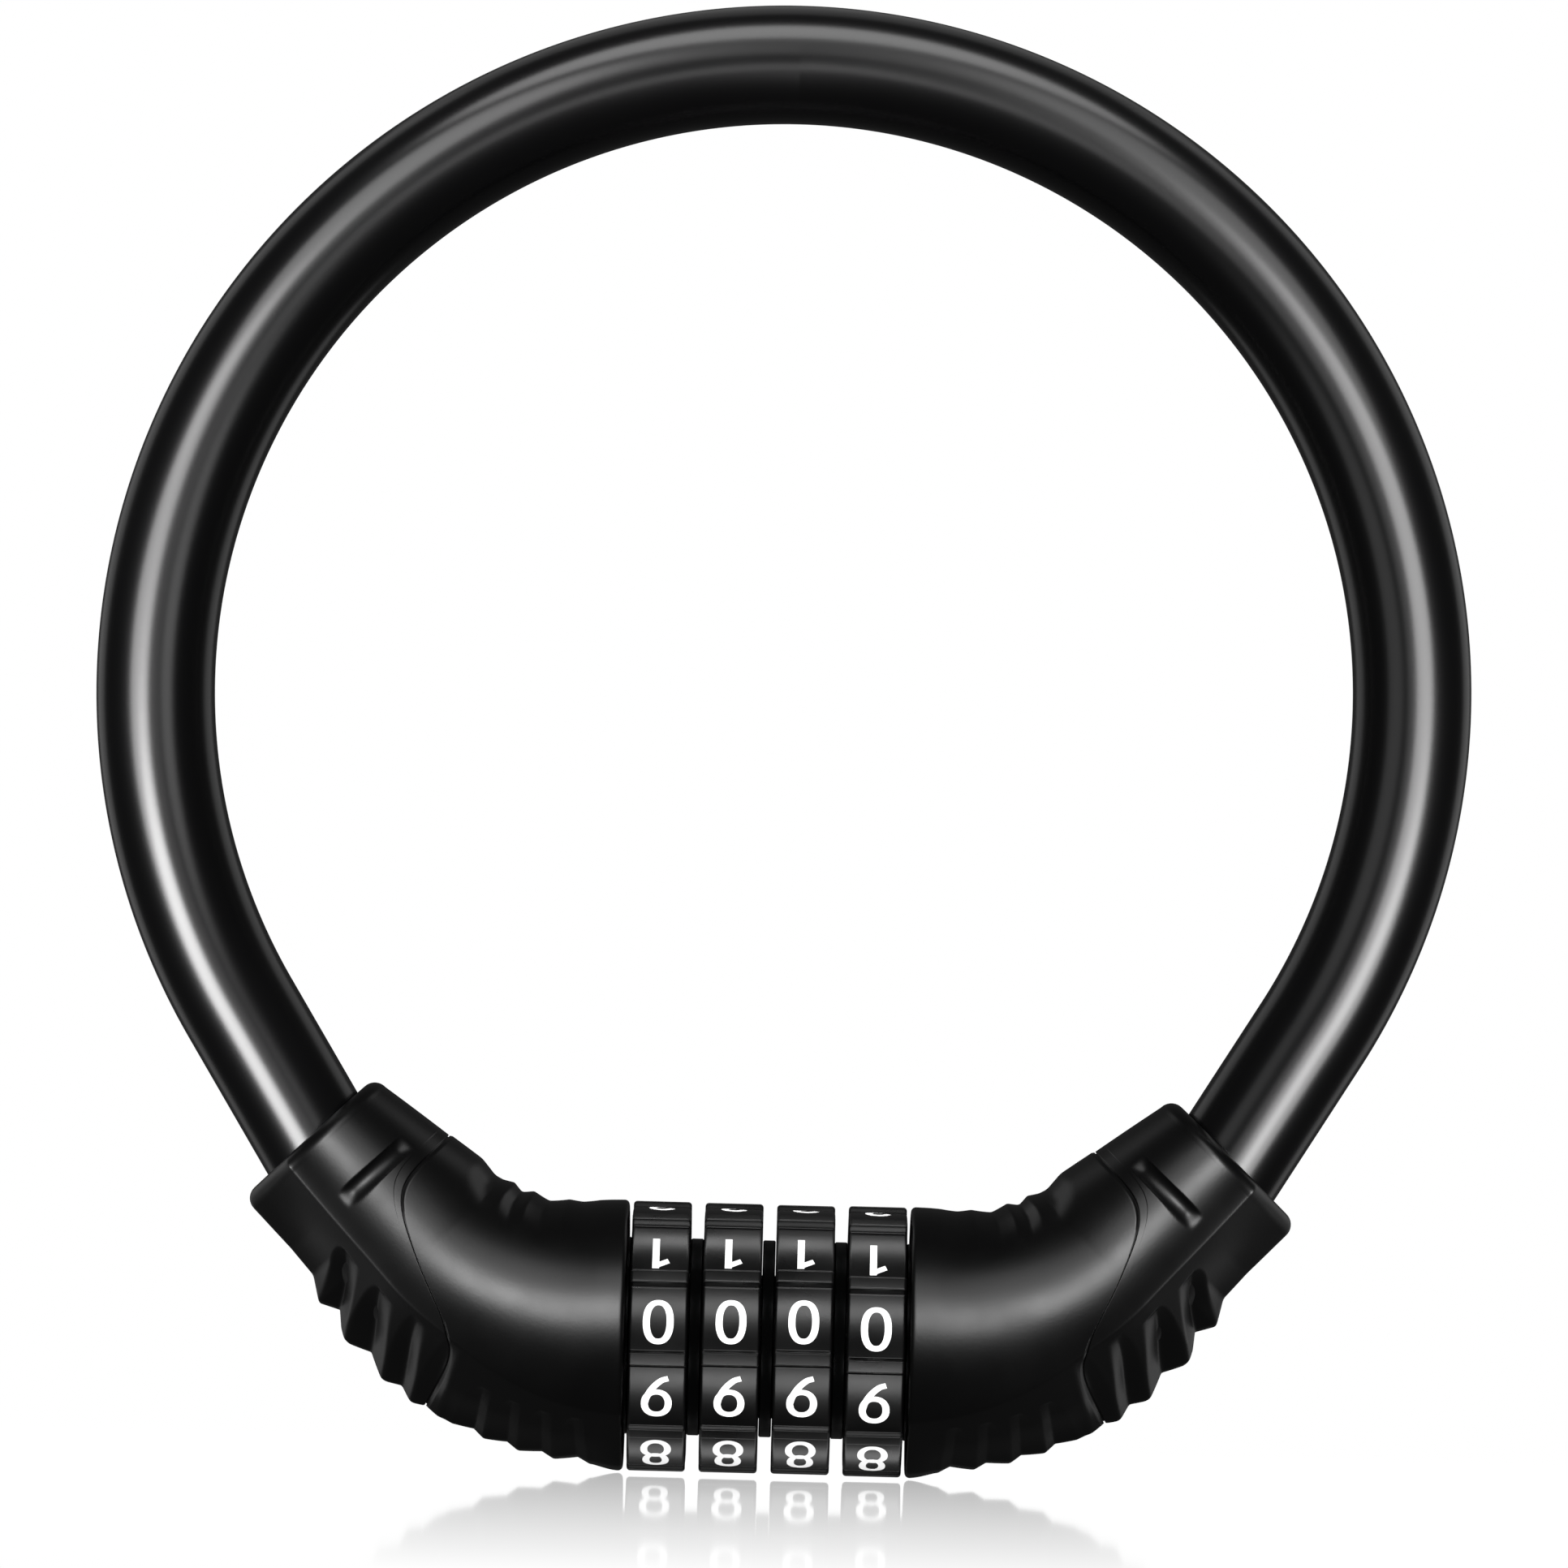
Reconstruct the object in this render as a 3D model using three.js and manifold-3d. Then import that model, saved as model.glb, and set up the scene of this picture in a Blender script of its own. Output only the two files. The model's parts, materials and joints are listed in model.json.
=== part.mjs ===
// Four-dial combination cable lock: a thick covered steel cable bent into a ring, its ends in two bent
// housings, and four number dials between them. Millimetres, +Z up, the dials facing -Y. The origin is the
// inner top of the loop, where the lock hangs from what it locks.
import * as THREE from 'three';
import { mergeVertices } from 'three/addons/utils/BufferGeometryUtils.js';
import Module from 'manifold-3d';

const wasm = await Module();
wasm.setup();

// ---------- driving dimensions ----------
// Cable
const loopRadius = 63.6; // centreline of the round part of the loop
const cableRadius = 6.0;
const coreRadius = 3.6; // steel rope inside the jacket
const straightRun = 15.6; // from the collar's mouth to where the round part begins
const buriedLength = 1.8; // cable past its bending point, inside the collar
const mouthKink = THREE.MathUtils.degToRad(12.5); // between the collar's axis and the cable
const halfGap = 0.15; // each half of the cable to the plane where they meet

// Housings: the axis runs straight, bends, then runs straight again along the collar
const mouthGap = 0.395; // between a housing's mouth and the nearest dial
const leadLength = 3.0;
const bendRadius = 25.0;
const tailLength = 16.4;
const bendPointDepth = 0.8; // cable's bending point, below the collar's end face
const mouthRadius = 13.8;
const collarRadius = 8.7;
const taperPower = 1.6;
const collarRounding = 1.3;
const shellWall = 2.9;
const seatRadius = 10.5; // bore of the grip shell at its mouth
const seatDepth = 9.0;
const lipDepth = 1.2;
const throatRadius = 7.6; // least bore of the collar, behind its lip
const throatDepth = 3.4;

// Lower flank: a flat facet on each side of the taper
const facetTilt = THREE.MathUtils.degToRad(-52);
const facetHalfAtMouth = THREE.MathUtils.degToRad(19);
const facetHalfAtCollar = THREE.MathUtils.degToRad(28);
const facetGrowth = 14; // distance along the axis over which the facet widens

// Seam between the two shells of a housing: an S along the side
const seamFromEnd = 16.92; // middle of the S to the collar's end, along the axis
const seamHalf = 7.45;
const seamTilt = THREE.MathUtils.degToRad(-1);
const seamSpread = THREE.MathUtils.degToRad(15.2);
const seamGap = 0.36;
const spigotLength = 3.5;
const spigotWall = 1.1;
const spigotGap = 0.4;

// Finger scoops on the outer side of the collar
const scoopCount = 4;
const scoopFromEnd = 22.47; // first scoop to the collar's end, along the axis
const scoopPitch = 4.2;
const scoopDepth = 1.3;
const scoopLean = 1.5; // how far a scoop leans towards the cable at its tip
const scoopTop = THREE.MathUtils.degToRad(-24); // where a scoop fades out
const scoopFull = THREE.MathUtils.degToRad(-70); // where it has its full depth

// Long groove round the front and back of the collar
const grooveDepth = 0.7;
const grooveWidth = 1.5;
const grooveFromEnd = 7.1;
const grooveMiddle = THREE.MathUtils.degToRad(18);
const grooveHalf = THREE.MathUtils.degToRad(25);

// Dials and what turns with them
const dialCount = 4;
const dialPitch = 7.27;
const dialWidth = 5.9;
const dialRadius = 13.7;
const positions = 10;
const facetDrop = 0.8; // step below each rib
const facetRise = 0.4; // what is left of the step at the next rib
const ribHalf = THREE.MathUtils.degToRad(2.8);
const footShare = 1.25; // rib's foot below the rib, as a share of ribHalf
const headShare = 1.15; // facet's upper edge, as a share of ribHalf
const digitPhase = THREE.MathUtils.degToRad(9.5); // middle of the zero facet, above the front
const codeRingWidth = 4.2;
const codeRingRadius = 9.0;
const keyHeight = 0.7;
const keyHalf = 1.0;
const dimpleDepth = 0.5;
const dimpleHalf = THREE.MathUtils.degToRad(5);

// Barrel and bolt
const barrelRadius = 6.4;
const barrelBore = 2.6;
const barrelPastClip = 0.675; // into the right housing
const slotHalf = 1.45;
const rodRadius = 2.2;
const rodPastLug = 1.0;
const lugReach = 8.0; // from the axis
const lugWidth = 2.2;
const lugThick = 2.2; // along the axis
const lugPlay = 0.35; // round a lug in its slots
const basePlay = 0.36; // last lug to the barrel's base
const carrierPlay = 0.7; // barrel's end to the bolt's carrier
const spacerRadius = 9.95;
const clipThick = 0.7;
const clipRadius = 8.4;
const clipGrooveDepth = 0.8;
const ballShare = 0.237; // detent ball's radius, as a share of the barrel's wall
const floorShare = 0.158; // metal under a detent spring, as a share of the same wall
const springRadius = 0.8;
const springBore = 0.4;
const ballSink = 0.05; // top of a ball below the barrel's surface
const pocketPlay = 0.2; // round a ball in its pocket
const springPlay = 0.15; // at each end of a spring

// Inserts, ferrules and pins
const insertRadius = 9.4;
const baseThick = 6.0;
const floorThick = 0.7;
const carrierThick = 5.2;
const ferruleRadius = 5.4;
const ferruleLength = 9.4;
const ferruleFromEnd = 5.1;
const pinRadius = 0.9;
const pinSeat = 1.4; // how far a pin reaches into a shell's wall
const basePinZ = 4.5;
const ferrulePinFromEnd = 7.5;

const clearance = 0.3; // between pieces that touch or slide
const aroundSides = 30; // sides of the shells
const roundSides = 24;
const smallSides = 10;

// ---------- values worked out from them ----------
// Mouth of each housing to the middle of the lock
const mouthX = ((dialCount - 1) / 2) * dialPitch + dialWidth / 2 + mouthGap;
const tailToBend = tailLength - bendPointDepth;
// The cable has to leave the bending point at an angle that meets the round part of the loop smoothly.
const sineTerm = loopRadius - bendRadius * Math.cos(mouthKink) - tailToBend * Math.sin(mouthKink);
const cosineTerm = straightRun - bendRadius * Math.sin(mouthKink) + tailToBend * Math.cos(mouthKink);
const exitAngle = Math.asin((mouthX + leadLength) / Math.hypot(sineTerm, cosineTerm))
  + Math.atan2(cosineTerm, sineTerm);
const houseBend = exitAngle - mouthKink;
const bendEnd = leadLength + bendRadius * houseBend;
const houseLength = bendEnd + tailLength;
const seamMiddle = houseLength - seamFromEnd;
const scoopFirst = houseLength - scoopFromEnd;
const bendPoint = axisAt(houseLength - bendPointDepth);
const loopDrop = bendPoint.z + straightRun * Math.sin(exitAngle) + loopRadius * Math.cos(exitAngle);
const lockZ = -(loopRadius - cableRadius) - loopDrop;
const lipRadius = cableRadius + 3 * clearance;

const codeRingBore = barrelRadius + clearance;
const notchRadius = lugReach + clearance;
const notchHalf = lugWidth / 2 + lugPlay;
const dialBore = codeRingRadius + clearance;
const spacerThick = dialPitch - dialWidth - 2 * clearance;
const stackEnd = (dialCount / 2) * dialPitch; // middle of each end spacer
const lugEnd = stackEnd + lugThick / 2;
const baseFace = lugEnd + basePlay;
const clipFace = stackEnd + spacerThick / 2 + clearance;
const barrelEnd = clipFace + clipThick + barrelPastClip;
const ballRadius = ballShare * (barrelRadius - barrelBore);
const pocketFloor = floorShare * (barrelRadius - barrelBore);
const carrierFace = barrelEnd + carrierPlay;
const basePinX = baseFace + baseThick / 2;
const carrierPinX = carrierFace + carrierThick / 2;

// ---------- helpers ----------

// A closed three.js geometry as a solid that can be cut and joined.
function asSolid(geometry) {
  const bare = geometry.clone();
  bare.deleteAttribute('normal');
  bare.deleteAttribute('uv');
  const merged = mergeVertices(bare, 1e-4);
  const mesh = new wasm.Mesh({
    numProp: 3,
    vertProperties: new Float32Array(merged.attributes.position.array),
    triVerts: new Uint32Array(merged.index.array),
  });
  return new wasm.Manifold(mesh);
}

function asGeometry(solid) {
  const mesh = solid.getMesh();
  const geometry = new THREE.BufferGeometry();
  geometry.setAttribute('position', new THREE.BufferAttribute(new Float32Array(mesh.vertProperties), 3));
  geometry.setIndex(new THREE.BufferAttribute(new Uint32Array(mesh.triVerts), 1));
  geometry.computeVertexNormals();
  return geometry;
}

function cut(geometry, tools) {
  let solid = asSolid(geometry);
  for (const tool of tools) {
    solid = solid.subtract(asSolid(tool));
  }
  return asGeometry(solid);
}

function join(geometry, others) {
  let solid = asSolid(geometry);
  for (const other of others) {
    solid = solid.add(asSolid(other));
  }
  return asGeometry(solid);
}

// Turns every face over if the closed surface is inside out.
function facingOut(geometry) {
  const at = geometry.attributes.position;
  const index = geometry.index.array;
  const corners = [new THREE.Vector3(), new THREE.Vector3(), new THREE.Vector3()];
  let volume = 0;
  for (let i = 0; i < index.length; i += 3) {
    corners.forEach((corner, j) => corner.fromBufferAttribute(at, index[i + j]));
    volume += corners[0].dot(corners[1].clone().cross(corners[2]));
  }
  if (volume < 0) {
    for (let i = 0; i < index.length; i += 3) {
      const second = index[i + 1];
      index[i + 1] = index[i + 2];
      index[i + 2] = second;
    }
  }
  return geometry;
}

// Cylinder along X from x0 to x1.
function rodAlongX(radius, x0, x1, sides = roundSides) {
  const rod = new THREE.CylinderGeometry(radius, radius, x1 - x0, sides);
  return rod.rotateZ(Math.PI / 2).translate((x0 + x1) / 2, 0, 0);
}

// Cylinder along Y, centred on y = 0.
function rodAlongY(radius, halfLength, x, z, sides = smallSides) {
  return new THREE.CylinderGeometry(radius, radius, 2 * halfLength, sides).translate(x, 0, z);
}

// Body of revolution about X. Each point is [distance along X, radius].
function turnedAlongX(points, sides = roundSides) {
  const profile = points.map(([x, radius]) => new THREE.Vector2(radius, x));
  const body = new THREE.LatheGeometry([...profile, profile[0]], sides);
  return facingOut(mergeVertices(body.rotateZ(-Math.PI / 2), 1e-4));
}

// Shape of an outline with at most one hole: the outline runs anticlockwise and the hole clockwise.
function shapeOf(outline, hole) {
  const isClockwise = THREE.ShapeUtils.isClockWise;
  const shape = new THREE.Shape(isClockwise(outline) ? outline.toReversed() : outline);
  if (hole) {
    shape.holes.push(new THREE.Path(isClockwise(hole) ? hole : hole.toReversed()));
  }
  return shape;
}

// Flat outline in Y and Z, pushed along X from x0 to x1. The outline's first axis is Y, its second Z.
function plateAlongX(outline, hole, x0, x1) {
  const shape = shapeOf(outline, hole);
  const plate = new THREE.ExtrudeGeometry(shape, { depth: x1 - x0, bevelEnabled: false });
  const turn = new THREE.Matrix4().makeBasis(
    new THREE.Vector3(0, 1, 0),
    new THREE.Vector3(0, 0, 1),
    new THREE.Vector3(1, 0, 0),
  );
  return plate.applyMatrix4(turn).translate(x0, 0, 0);
}

// Point at a radius and an angle, measured from the front (-Y) upwards.
function polar(radius, angle) {
  return new THREE.Vector2(-radius * Math.cos(angle), radius * Math.sin(angle));
}

// Circle that has a square tab from its own radius out to tabRadius, centred on an angle.
function circleWithTab(radius, tabRadius, half, angle, sides = roundSides) {
  const start = Math.asin(half / radius);
  const points = [];
  for (let i = 0; i <= sides; i += 1) {
    points.push(polar(radius, angle + start + (i / sides) * 2 * (Math.PI - start)));
  }
  const tip = Math.asin(half / tabRadius);
  points.push(polar(tabRadius, angle - tip), polar(tabRadius, angle + tip));
  return points;
}

const circle = (radius, sides = roundSides) =>
  Array.from({ length: sides }, (_, i) => polar(radius, (i / sides) * 2 * Math.PI));

const smooth = (a, b, x) => THREE.MathUtils.smoothstep(x, a, b);

// ---------- housing surface ----------

// Point and direction of a housing's axis, at a distance along it from the mouth.
function axisAt(along) {
  const turned = THREE.MathUtils.clamp((along - leadLength) / bendRadius, 0, houseBend);
  const lead = Math.min(along, leadLength);
  const tail = Math.max(along - bendEnd, 0);
  return {
    x: mouthX + lead + bendRadius * Math.sin(turned) + tail * Math.cos(turned),
    z: bendRadius * (1 - Math.cos(turned)) + tail * Math.sin(turned),
    turned,
  };
}

// Height of a direction round the axis above the middle plane, the same for front and back.
const heightOf = (around) => Math.atan2(Math.sin(around), Math.abs(Math.cos(around)));

function taperAt(along) {
  const share = THREE.MathUtils.clamp(along / houseLength, 0, 1);
  return mouthRadius - (mouthRadius - collarRadius) * share ** taperPower;
}

function seamAt(around) {
  return seamMiddle + seamHalf * Math.tanh((heightOf(around) - seamTilt) / seamSpread);
}

// Half of the seam's gap, measured along the axis, so that the gap is as wide where the seam slants.
function seamEdge(around) {
  const lean = 1 - Math.tanh((heightOf(around) - seamTilt) / seamSpread) ** 2;
  const slope = (seamHalf / seamSpread) * lean / taperAt(seamMiddle);
  return (seamGap / 2) * Math.hypot(1, slope);
}

// Depth of the finger scoops: round crests and sharp valleys, fading out up the flank.
function scoopAt(along, around) {
  const height = heightOf(around);
  const up = smooth(scoopFull, scoopTop, height);
  const place = (along - scoopLean * up - scoopFirst) / scoopPitch;
  if (place < -0.5 || place > scoopCount - 0.5) {
    return 0;
  }
  return scoopDepth * (1 - up) * (1 - Math.abs(Math.sin(Math.PI * place)));
}

// Depth of the long groove round the side of the collar.
function grooveAt(along, around) {
  const across = (along - houseLength + grooveFromEnd) / (grooveWidth / 2);
  const lengthways = (heightOf(around) - grooveMiddle) / grooveHalf;
  if (Math.abs(across) >= 1 || Math.abs(lengthways) >= 1) {
    return 0;
  }
  return grooveDepth * Math.sqrt(1 - lengthways ** 2) * (1 - across ** 2);
}

// Radius of the outside of a housing.
function outsideAt(along, around) {
  const radius = taperAt(along);
  const widened = smooth(0, facetGrowth, along);
  const half = facetHalfAtMouth + (facetHalfAtCollar - facetHalfAtMouth) * widened;
  const off = Math.abs(heightOf(around) - facetTilt);
  const flat = off < half ? (radius * Math.cos(half)) / Math.cos(off) : radius;
  return flat - scoopAt(along, around) - grooveAt(along, around);
}

const collarBoreAt = (along) => Math.max(taperAt(along) - shellWall, throatRadius);
const spigotBoreAt = (along) => collarBoreAt(along) - spigotGap - spigotWall;

// Place of a point of a housing, from its distance along the axis, direction round it and radius.
function housePoint(along, around, radius) {
  const axis = axisAt(along);
  const inPlane = radius * Math.sin(around);
  return new THREE.Vector3(
    axis.x - inPlane * Math.sin(axis.turned),
    -radius * Math.cos(around),
    axis.z + inPlane * Math.cos(axis.turned),
  );
}

// Closed shell: a lathe whose rings are bent along the axis. ring(around) gives the section's outline as
// [along, radius] pairs, as many for every direction.
function bentShell(ring) {
  const count = ring(0).length;
  const blank = Array.from({ length: count + 1 }, (_, i) => new THREE.Vector2(1, i));
  const shell = new THREE.LatheGeometry(blank, aroundSides);
  for (let i = 0; i <= aroundSides; i += 1) {
    const around = ((i % aroundSides) / aroundSides) * 2 * Math.PI;
    const outline = ring(around);
    for (let j = 0; j <= count; j += 1) {
      const [along, radius] = outline[j % count];
      const at = housePoint(along, around, radius);
      shell.attributes.position.setXYZ(i * (count + 1) + j, at.x, at.y, at.z);
    }
  }
  shell.deleteAttribute('normal');
  shell.deleteAttribute('uv');
  return facingOut(mergeVertices(shell, 1e-4));
}

// Distances from one value to another, with both ends.
const steps = (from, to, count) =>
  Array.from({ length: count + 1 }, (_, i) => from + ((to - from) * i) / count);

// ---------- shells ----------

function collarRing(around) {
  const start = seamAt(around) + seamEdge(around);
  const shoulder = houseLength - collarRounding;
  const outside = steps(start, shoulder, 16).map((along) => [along, outsideAt(along, around)]);
  const corner = outsideAt(shoulder, around);
  const halfway = (1 - Math.SQRT1_2) * collarRounding;
  const rounding = [
    [houseLength - halfway, corner - halfway],
    [houseLength, corner - collarRounding],
  ];
  const bore = [
    [houseLength, lipRadius],
    [houseLength - lipDepth, lipRadius],
    [houseLength - throatDepth, collarBoreAt(houseLength - throatDepth)],
  ];
  const tip = seamAt(around) - seamEdge(around) + spigotLength;
  const back = [...steps(houseLength - throatDepth, tip, 2).slice(1), start];
  return [...outside, ...rounding, ...bore, ...back.map((along) => [along, collarBoreAt(along)])];
}

function gripRing(around) {
  const end = seamAt(around) - seamEdge(around);
  const tip = end + spigotLength;
  const outside = steps(0, end, 8).map((along) => [along, outsideAt(along, around)]);
  const spigot = [end, tip].map((along) => [along, collarBoreAt(along) - spigotGap]);
  const bore = [tip, end].map((along) => [along, spigotBoreAt(along)]);
  return [...outside, ...spigot, ...bore, [seatDepth, seatRadius], [0, seatRadius]];
}

function collarShell() {
  const blindHole = housePinHole(pinRadius + clearance, collarBoreAt(ferrulePinAlong()) + pinSeat);
  return cut(bentShell(collarRing), [blindHole]);
}

function gripShell(pinX, pinZ) {
  const reach = Math.sqrt(seatRadius ** 2 - pinZ ** 2) + pinSeat;
  return cut(bentShell(gripRing), [rodAlongY(pinRadius + clearance, reach, pinX, pinZ)]);
}

// ---------- cable ----------

// One half of the cable's centreline, from inside the right collar to the top of the loop.
class HalfLoop extends THREE.Curve {
  constructor() {
    super();
    this.sweep = Math.PI - exitAngle - halfGap / loopRadius;
    this.total = buriedLength + straightRun + loopRadius * this.sweep;
  }

  getPoint(share, target = new THREE.Vector3()) {
    const past = share * this.total - buriedLength;
    if (past < straightRun) {
      return target.set(
        bendPoint.x + past * Math.cos(exitAngle),
        0,
        bendPoint.z + past * Math.sin(exitAngle),
      );
    }
    const angle = exitAngle - Math.PI / 2 + (past - straightRun) / loopRadius;
    return target.set(loopRadius * Math.cos(angle), 0, loopDrop + loopRadius * Math.sin(angle));
  }
}

function alongCable(section) {
  return new THREE.ExtrudeGeometry(section, { steps: 22, extrudePath: new HalfLoop() });
}

function cableJacket() {
  return alongCable(shapeOf(circle(cableRadius, 12), circle(coreRadius + clearance, 8)));
}

const cableCore = () => alongCable(shapeOf(circle(coreRadius, 8)));

// ---------- cable ends ----------

const ferrulePinAlong = () => houseLength - ferrulePinFromEnd;

// Cylinder across the housing's axis, front to back, for the ferrule's pin or its hole.
function housePinHole(radius, halfLength) {
  const at = axisAt(ferrulePinAlong());
  return rodAlongY(radius, halfLength, at.x, at.z);
}

function ferrule() {
  const middle = axisAt(houseLength - ferruleFromEnd - ferruleLength / 2);
  const sleeve = new THREE.CylinderGeometry(ferruleRadius, ferruleRadius, ferruleLength, roundSides);
  sleeve.rotateZ(Math.PI / 2).rotateY(-houseBend).translate(middle.x, 0, middle.z);
  return cut(sleeve, [housePinHole(pinRadius + clearance, 2 * ferruleRadius)]);
}

const ferrulePin = () =>
  housePinHole(pinRadius, collarBoreAt(ferrulePinAlong()) + pinSeat - clearance);

// ---------- dials ----------

// Ten raised ribs; below each one a sharp step, then a rounded facet that rises to the next rib.
function dialOutline(phase) {
  const points = [];
  const pitch = (2 * Math.PI) / positions;
  for (let i = 0; i < positions; i += 1) {
    const rib = phase + (i + 0.5) * pitch;
    const foot = rib - ribHalf * footShare;
    const head = rib - pitch + ribHalf * headShare;
    points.push(polar(dialRadius - facetRise, head));
    for (const share of [1 / 3, 2 / 3]) {
      const drop = facetRise + (facetDrop - facetRise) * share;
      points.push(polar(dialRadius - drop, head + (foot - head) * share));
    }
    points.push(polar(dialRadius - facetDrop, foot));
    points.push(polar(dialRadius, rib - ribHalf), polar(dialRadius, rib + ribHalf));
  }
  return points;
}

const keyAngle = Math.PI / 2; // the key of each code ring points up
const slotAngle = -Math.PI / 2; // the slot, the notches and the lugs point down

function dial(middle) {
  const bore = circleWithTab(dialBore, dialBore + keyHeight, keyHalf + clearance, keyAngle);
  return plateAlongX(dialOutline(digitPhase), bore, middle - dialWidth / 2, middle + dialWidth / 2);
}

// Bore with a dimple for every position and, at the slot, the notch that lets a lug past.
function codeRingBoreOutline() {
  const points = [];
  const pitch = (2 * Math.PI) / positions;
  const edge = Math.asin(notchHalf / codeRingBore);
  const deep = Math.asin(notchHalf / notchRadius);
  points.push(polar(codeRingBore, slotAngle - edge), polar(notchRadius, slotAngle - deep));
  points.push(polar(notchRadius, slotAngle + deep), polar(codeRingBore, slotAngle + edge));
  for (let i = 1; i < positions; i += 1) {
    const middle = slotAngle + i * pitch;
    points.push(polar(codeRingBore, middle - dimpleHalf));
    points.push(polar(codeRingBore + dimpleDepth, middle));
    points.push(polar(codeRingBore, middle + dimpleHalf));
  }
  return points;
}

function codeRing(middle) {
  const outline = circleWithTab(codeRingRadius, codeRingRadius + keyHeight, keyHalf, keyAngle);
  const half = codeRingWidth / 2;
  return plateAlongX(outline, codeRingBoreOutline(), middle - half, middle + half);
}

function spacer(middle) {
  const bore = circleWithTab(codeRingBore, notchRadius, notchHalf, slotAngle);
  return plateAlongX(circle(spacerRadius), bore, middle - spacerThick / 2, middle + spacerThick / 2);
}

// ---------- barrel, bolt and inserts ----------

function barrel() {
  const left = -(baseFace + baseThick - floorThick - clearance);
  const groove = barrelRadius - clipGrooveDepth;
  const tube = turnedAlongX([
    [left, barrelBore],
    [left, barrelRadius],
    [clipFace - clearance / 2, barrelRadius],
    [clipFace - clearance / 2, groove],
    [clipFace + clipThick + clearance / 2, groove],
    [clipFace + clipThick + clearance / 2, barrelRadius],
    [barrelEnd, barrelRadius],
    [barrelEnd, barrelBore],
  ]);
  const slotLength = 2 * barrelEnd;
  const slot = new THREE.BoxGeometry(slotLength, 2 * slotHalf, barrelRadius);
  slot.translate(slotLength / 2 - lugEnd - clearance, 0, -barrelRadius / 2 - barrelBore / 2);
  const pockets = dialMiddles().map((middle) => detentHole(middle));
  const pinHole = rodAlongY(pinRadius + clearance, barrelRadius * 2, -basePinX, basePinZ);
  return cut(tube, [slot, ...pockets, pinHole]);
}

// Upright blind hole in the barrel for a detent ball and its spring.
function detentHole(middle) {
  const floor = barrelBore + pocketFloor;
  const depth = barrelRadius + pocketPlay - floor;
  const hole = new THREE.CylinderGeometry(ballRadius + pocketPlay, ballRadius + pocketPlay, depth, smallSides);
  return hole.rotateX(Math.PI / 2).translate(middle, 0, floor + depth / 2);
}

const ballHeight = () => barrelRadius - ballSink - ballRadius;

function detentBall(middle) {
  return new THREE.SphereGeometry(ballRadius, smallSides, 6).translate(middle, 0, ballHeight());
}

function detentSpring(middle) {
  const bottom = barrelBore + pocketFloor + springPlay;
  const top = ballHeight() - ballRadius - springPlay;
  const profile = [
    [springBore, bottom],
    [springRadius, bottom],
    [springRadius, top],
    [springBore, top],
    [springBore, bottom],
  ].map(([radius, height]) => new THREE.Vector2(radius, height));
  const coil = new THREE.LatheGeometry(profile, 8).rotateX(Math.PI / 2);
  return facingOut(mergeVertices(coil.translate(middle, 0, 0), 1e-4));
}

function retainingClip() {
  const inner = barrelRadius - clipGrooveDepth + clearance;
  const gap = notchHalf;
  const from = Math.asin(gap / clipRadius);
  const back = Math.asin(gap / inner);
  const outline = [];
  for (const share of steps(0, 1, roundSides)) {
    outline.push(polar(clipRadius, slotAngle + from + share * 2 * (Math.PI - from)));
  }
  for (const share of steps(1, 0, roundSides)) {
    outline.push(polar(inner, slotAngle + back + share * 2 * (Math.PI - back)));
  }
  return plateAlongX(outline, null, clipFace, clipFace + clipThick);
}

function barrelBase() {
  const face = -baseFace;
  const back = face - baseThick;
  const floor = back + floorThick;
  const body = turnedAlongX([
    [back, 0],
    [back, insertRadius],
    [face, insertRadius],
    [face, barrelRadius + clearance],
    [floor, barrelRadius + clearance],
    [floor, 0],
  ]);
  return cut(body, [rodAlongY(pinRadius + clearance, 2 * insertRadius, -basePinX, basePinZ)]);
}

function boltCarrier() {
  const back = carrierFace + carrierThick;
  const floor = back - floorThick;
  const body = turnedAlongX([
    [back, 0],
    [back, insertRadius],
    [carrierFace, insertRadius],
    [carrierFace, rodRadius + clearance],
    [floor, rodRadius + clearance],
    [floor, 0],
  ]);
  return cut(body, [rodAlongY(pinRadius + clearance, 2 * insertRadius, carrierPinX, 0)]);
}

function lockingBolt() {
  const rod = rodAlongX(rodRadius, -lugEnd - rodPastLug, carrierFace + carrierThick - floorThick - clearance);
  const lugs = dialMiddles().map((middle) => {
    const lug = new THREE.BoxGeometry(lugThick, lugWidth, lugReach - rodRadius / 2);
    return lug.translate(middle - dialPitch / 2, 0, -(lugReach + rodRadius / 2) / 2);
  });
  return cut(join(rod, lugs), [rodAlongY(pinRadius + clearance, 2 * rodRadius, carrierPinX, 0)]);
}

function crossPin(x, z) {
  const reach = Math.sqrt(seatRadius ** 2 - z ** 2) + pinSeat - clearance;
  return rodAlongY(pinRadius, reach, x, z);
}

const dialMiddles = () =>
  Array.from({ length: dialCount }, (_, i) => (i - (dialCount - 1) / 2) * dialPitch);

const spacerMiddles = () =>
  Array.from({ length: dialCount + 1 }, (_, i) => (i - dialCount / 2) * dialPitch);

// ---------- the lock ----------

const finish = (color, roughness, metalness) => ({ color, roughness, metalness });
const blackPlastic = finish(0x101113, 0.36, 0);
const dialPlastic = finish(0x18191b, 0.4, 0);
const blackPvc = finish(0x0b0c0e, 0.22, 0);
const steel = finish(0xa8aaac, 0.35, 1);
const zinc = finish(0x8e9092, 0.45, 1);
const brass = finish(0xb8964e, 0.35, 1);
const darkSteel = finish(0x232425, 0.4, 1);

const lock = new THREE.Group();
lock.name = 'cable_lock';
const middleGroup = new THREE.Group();
const rightSide = new THREE.Group();
const leftSide = new THREE.Group();
leftSide.rotation.z = Math.PI;
middleGroup.position.z = lockZ;
middleGroup.add(rightSide, leftSide);
lock.add(middleGroup);

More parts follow.
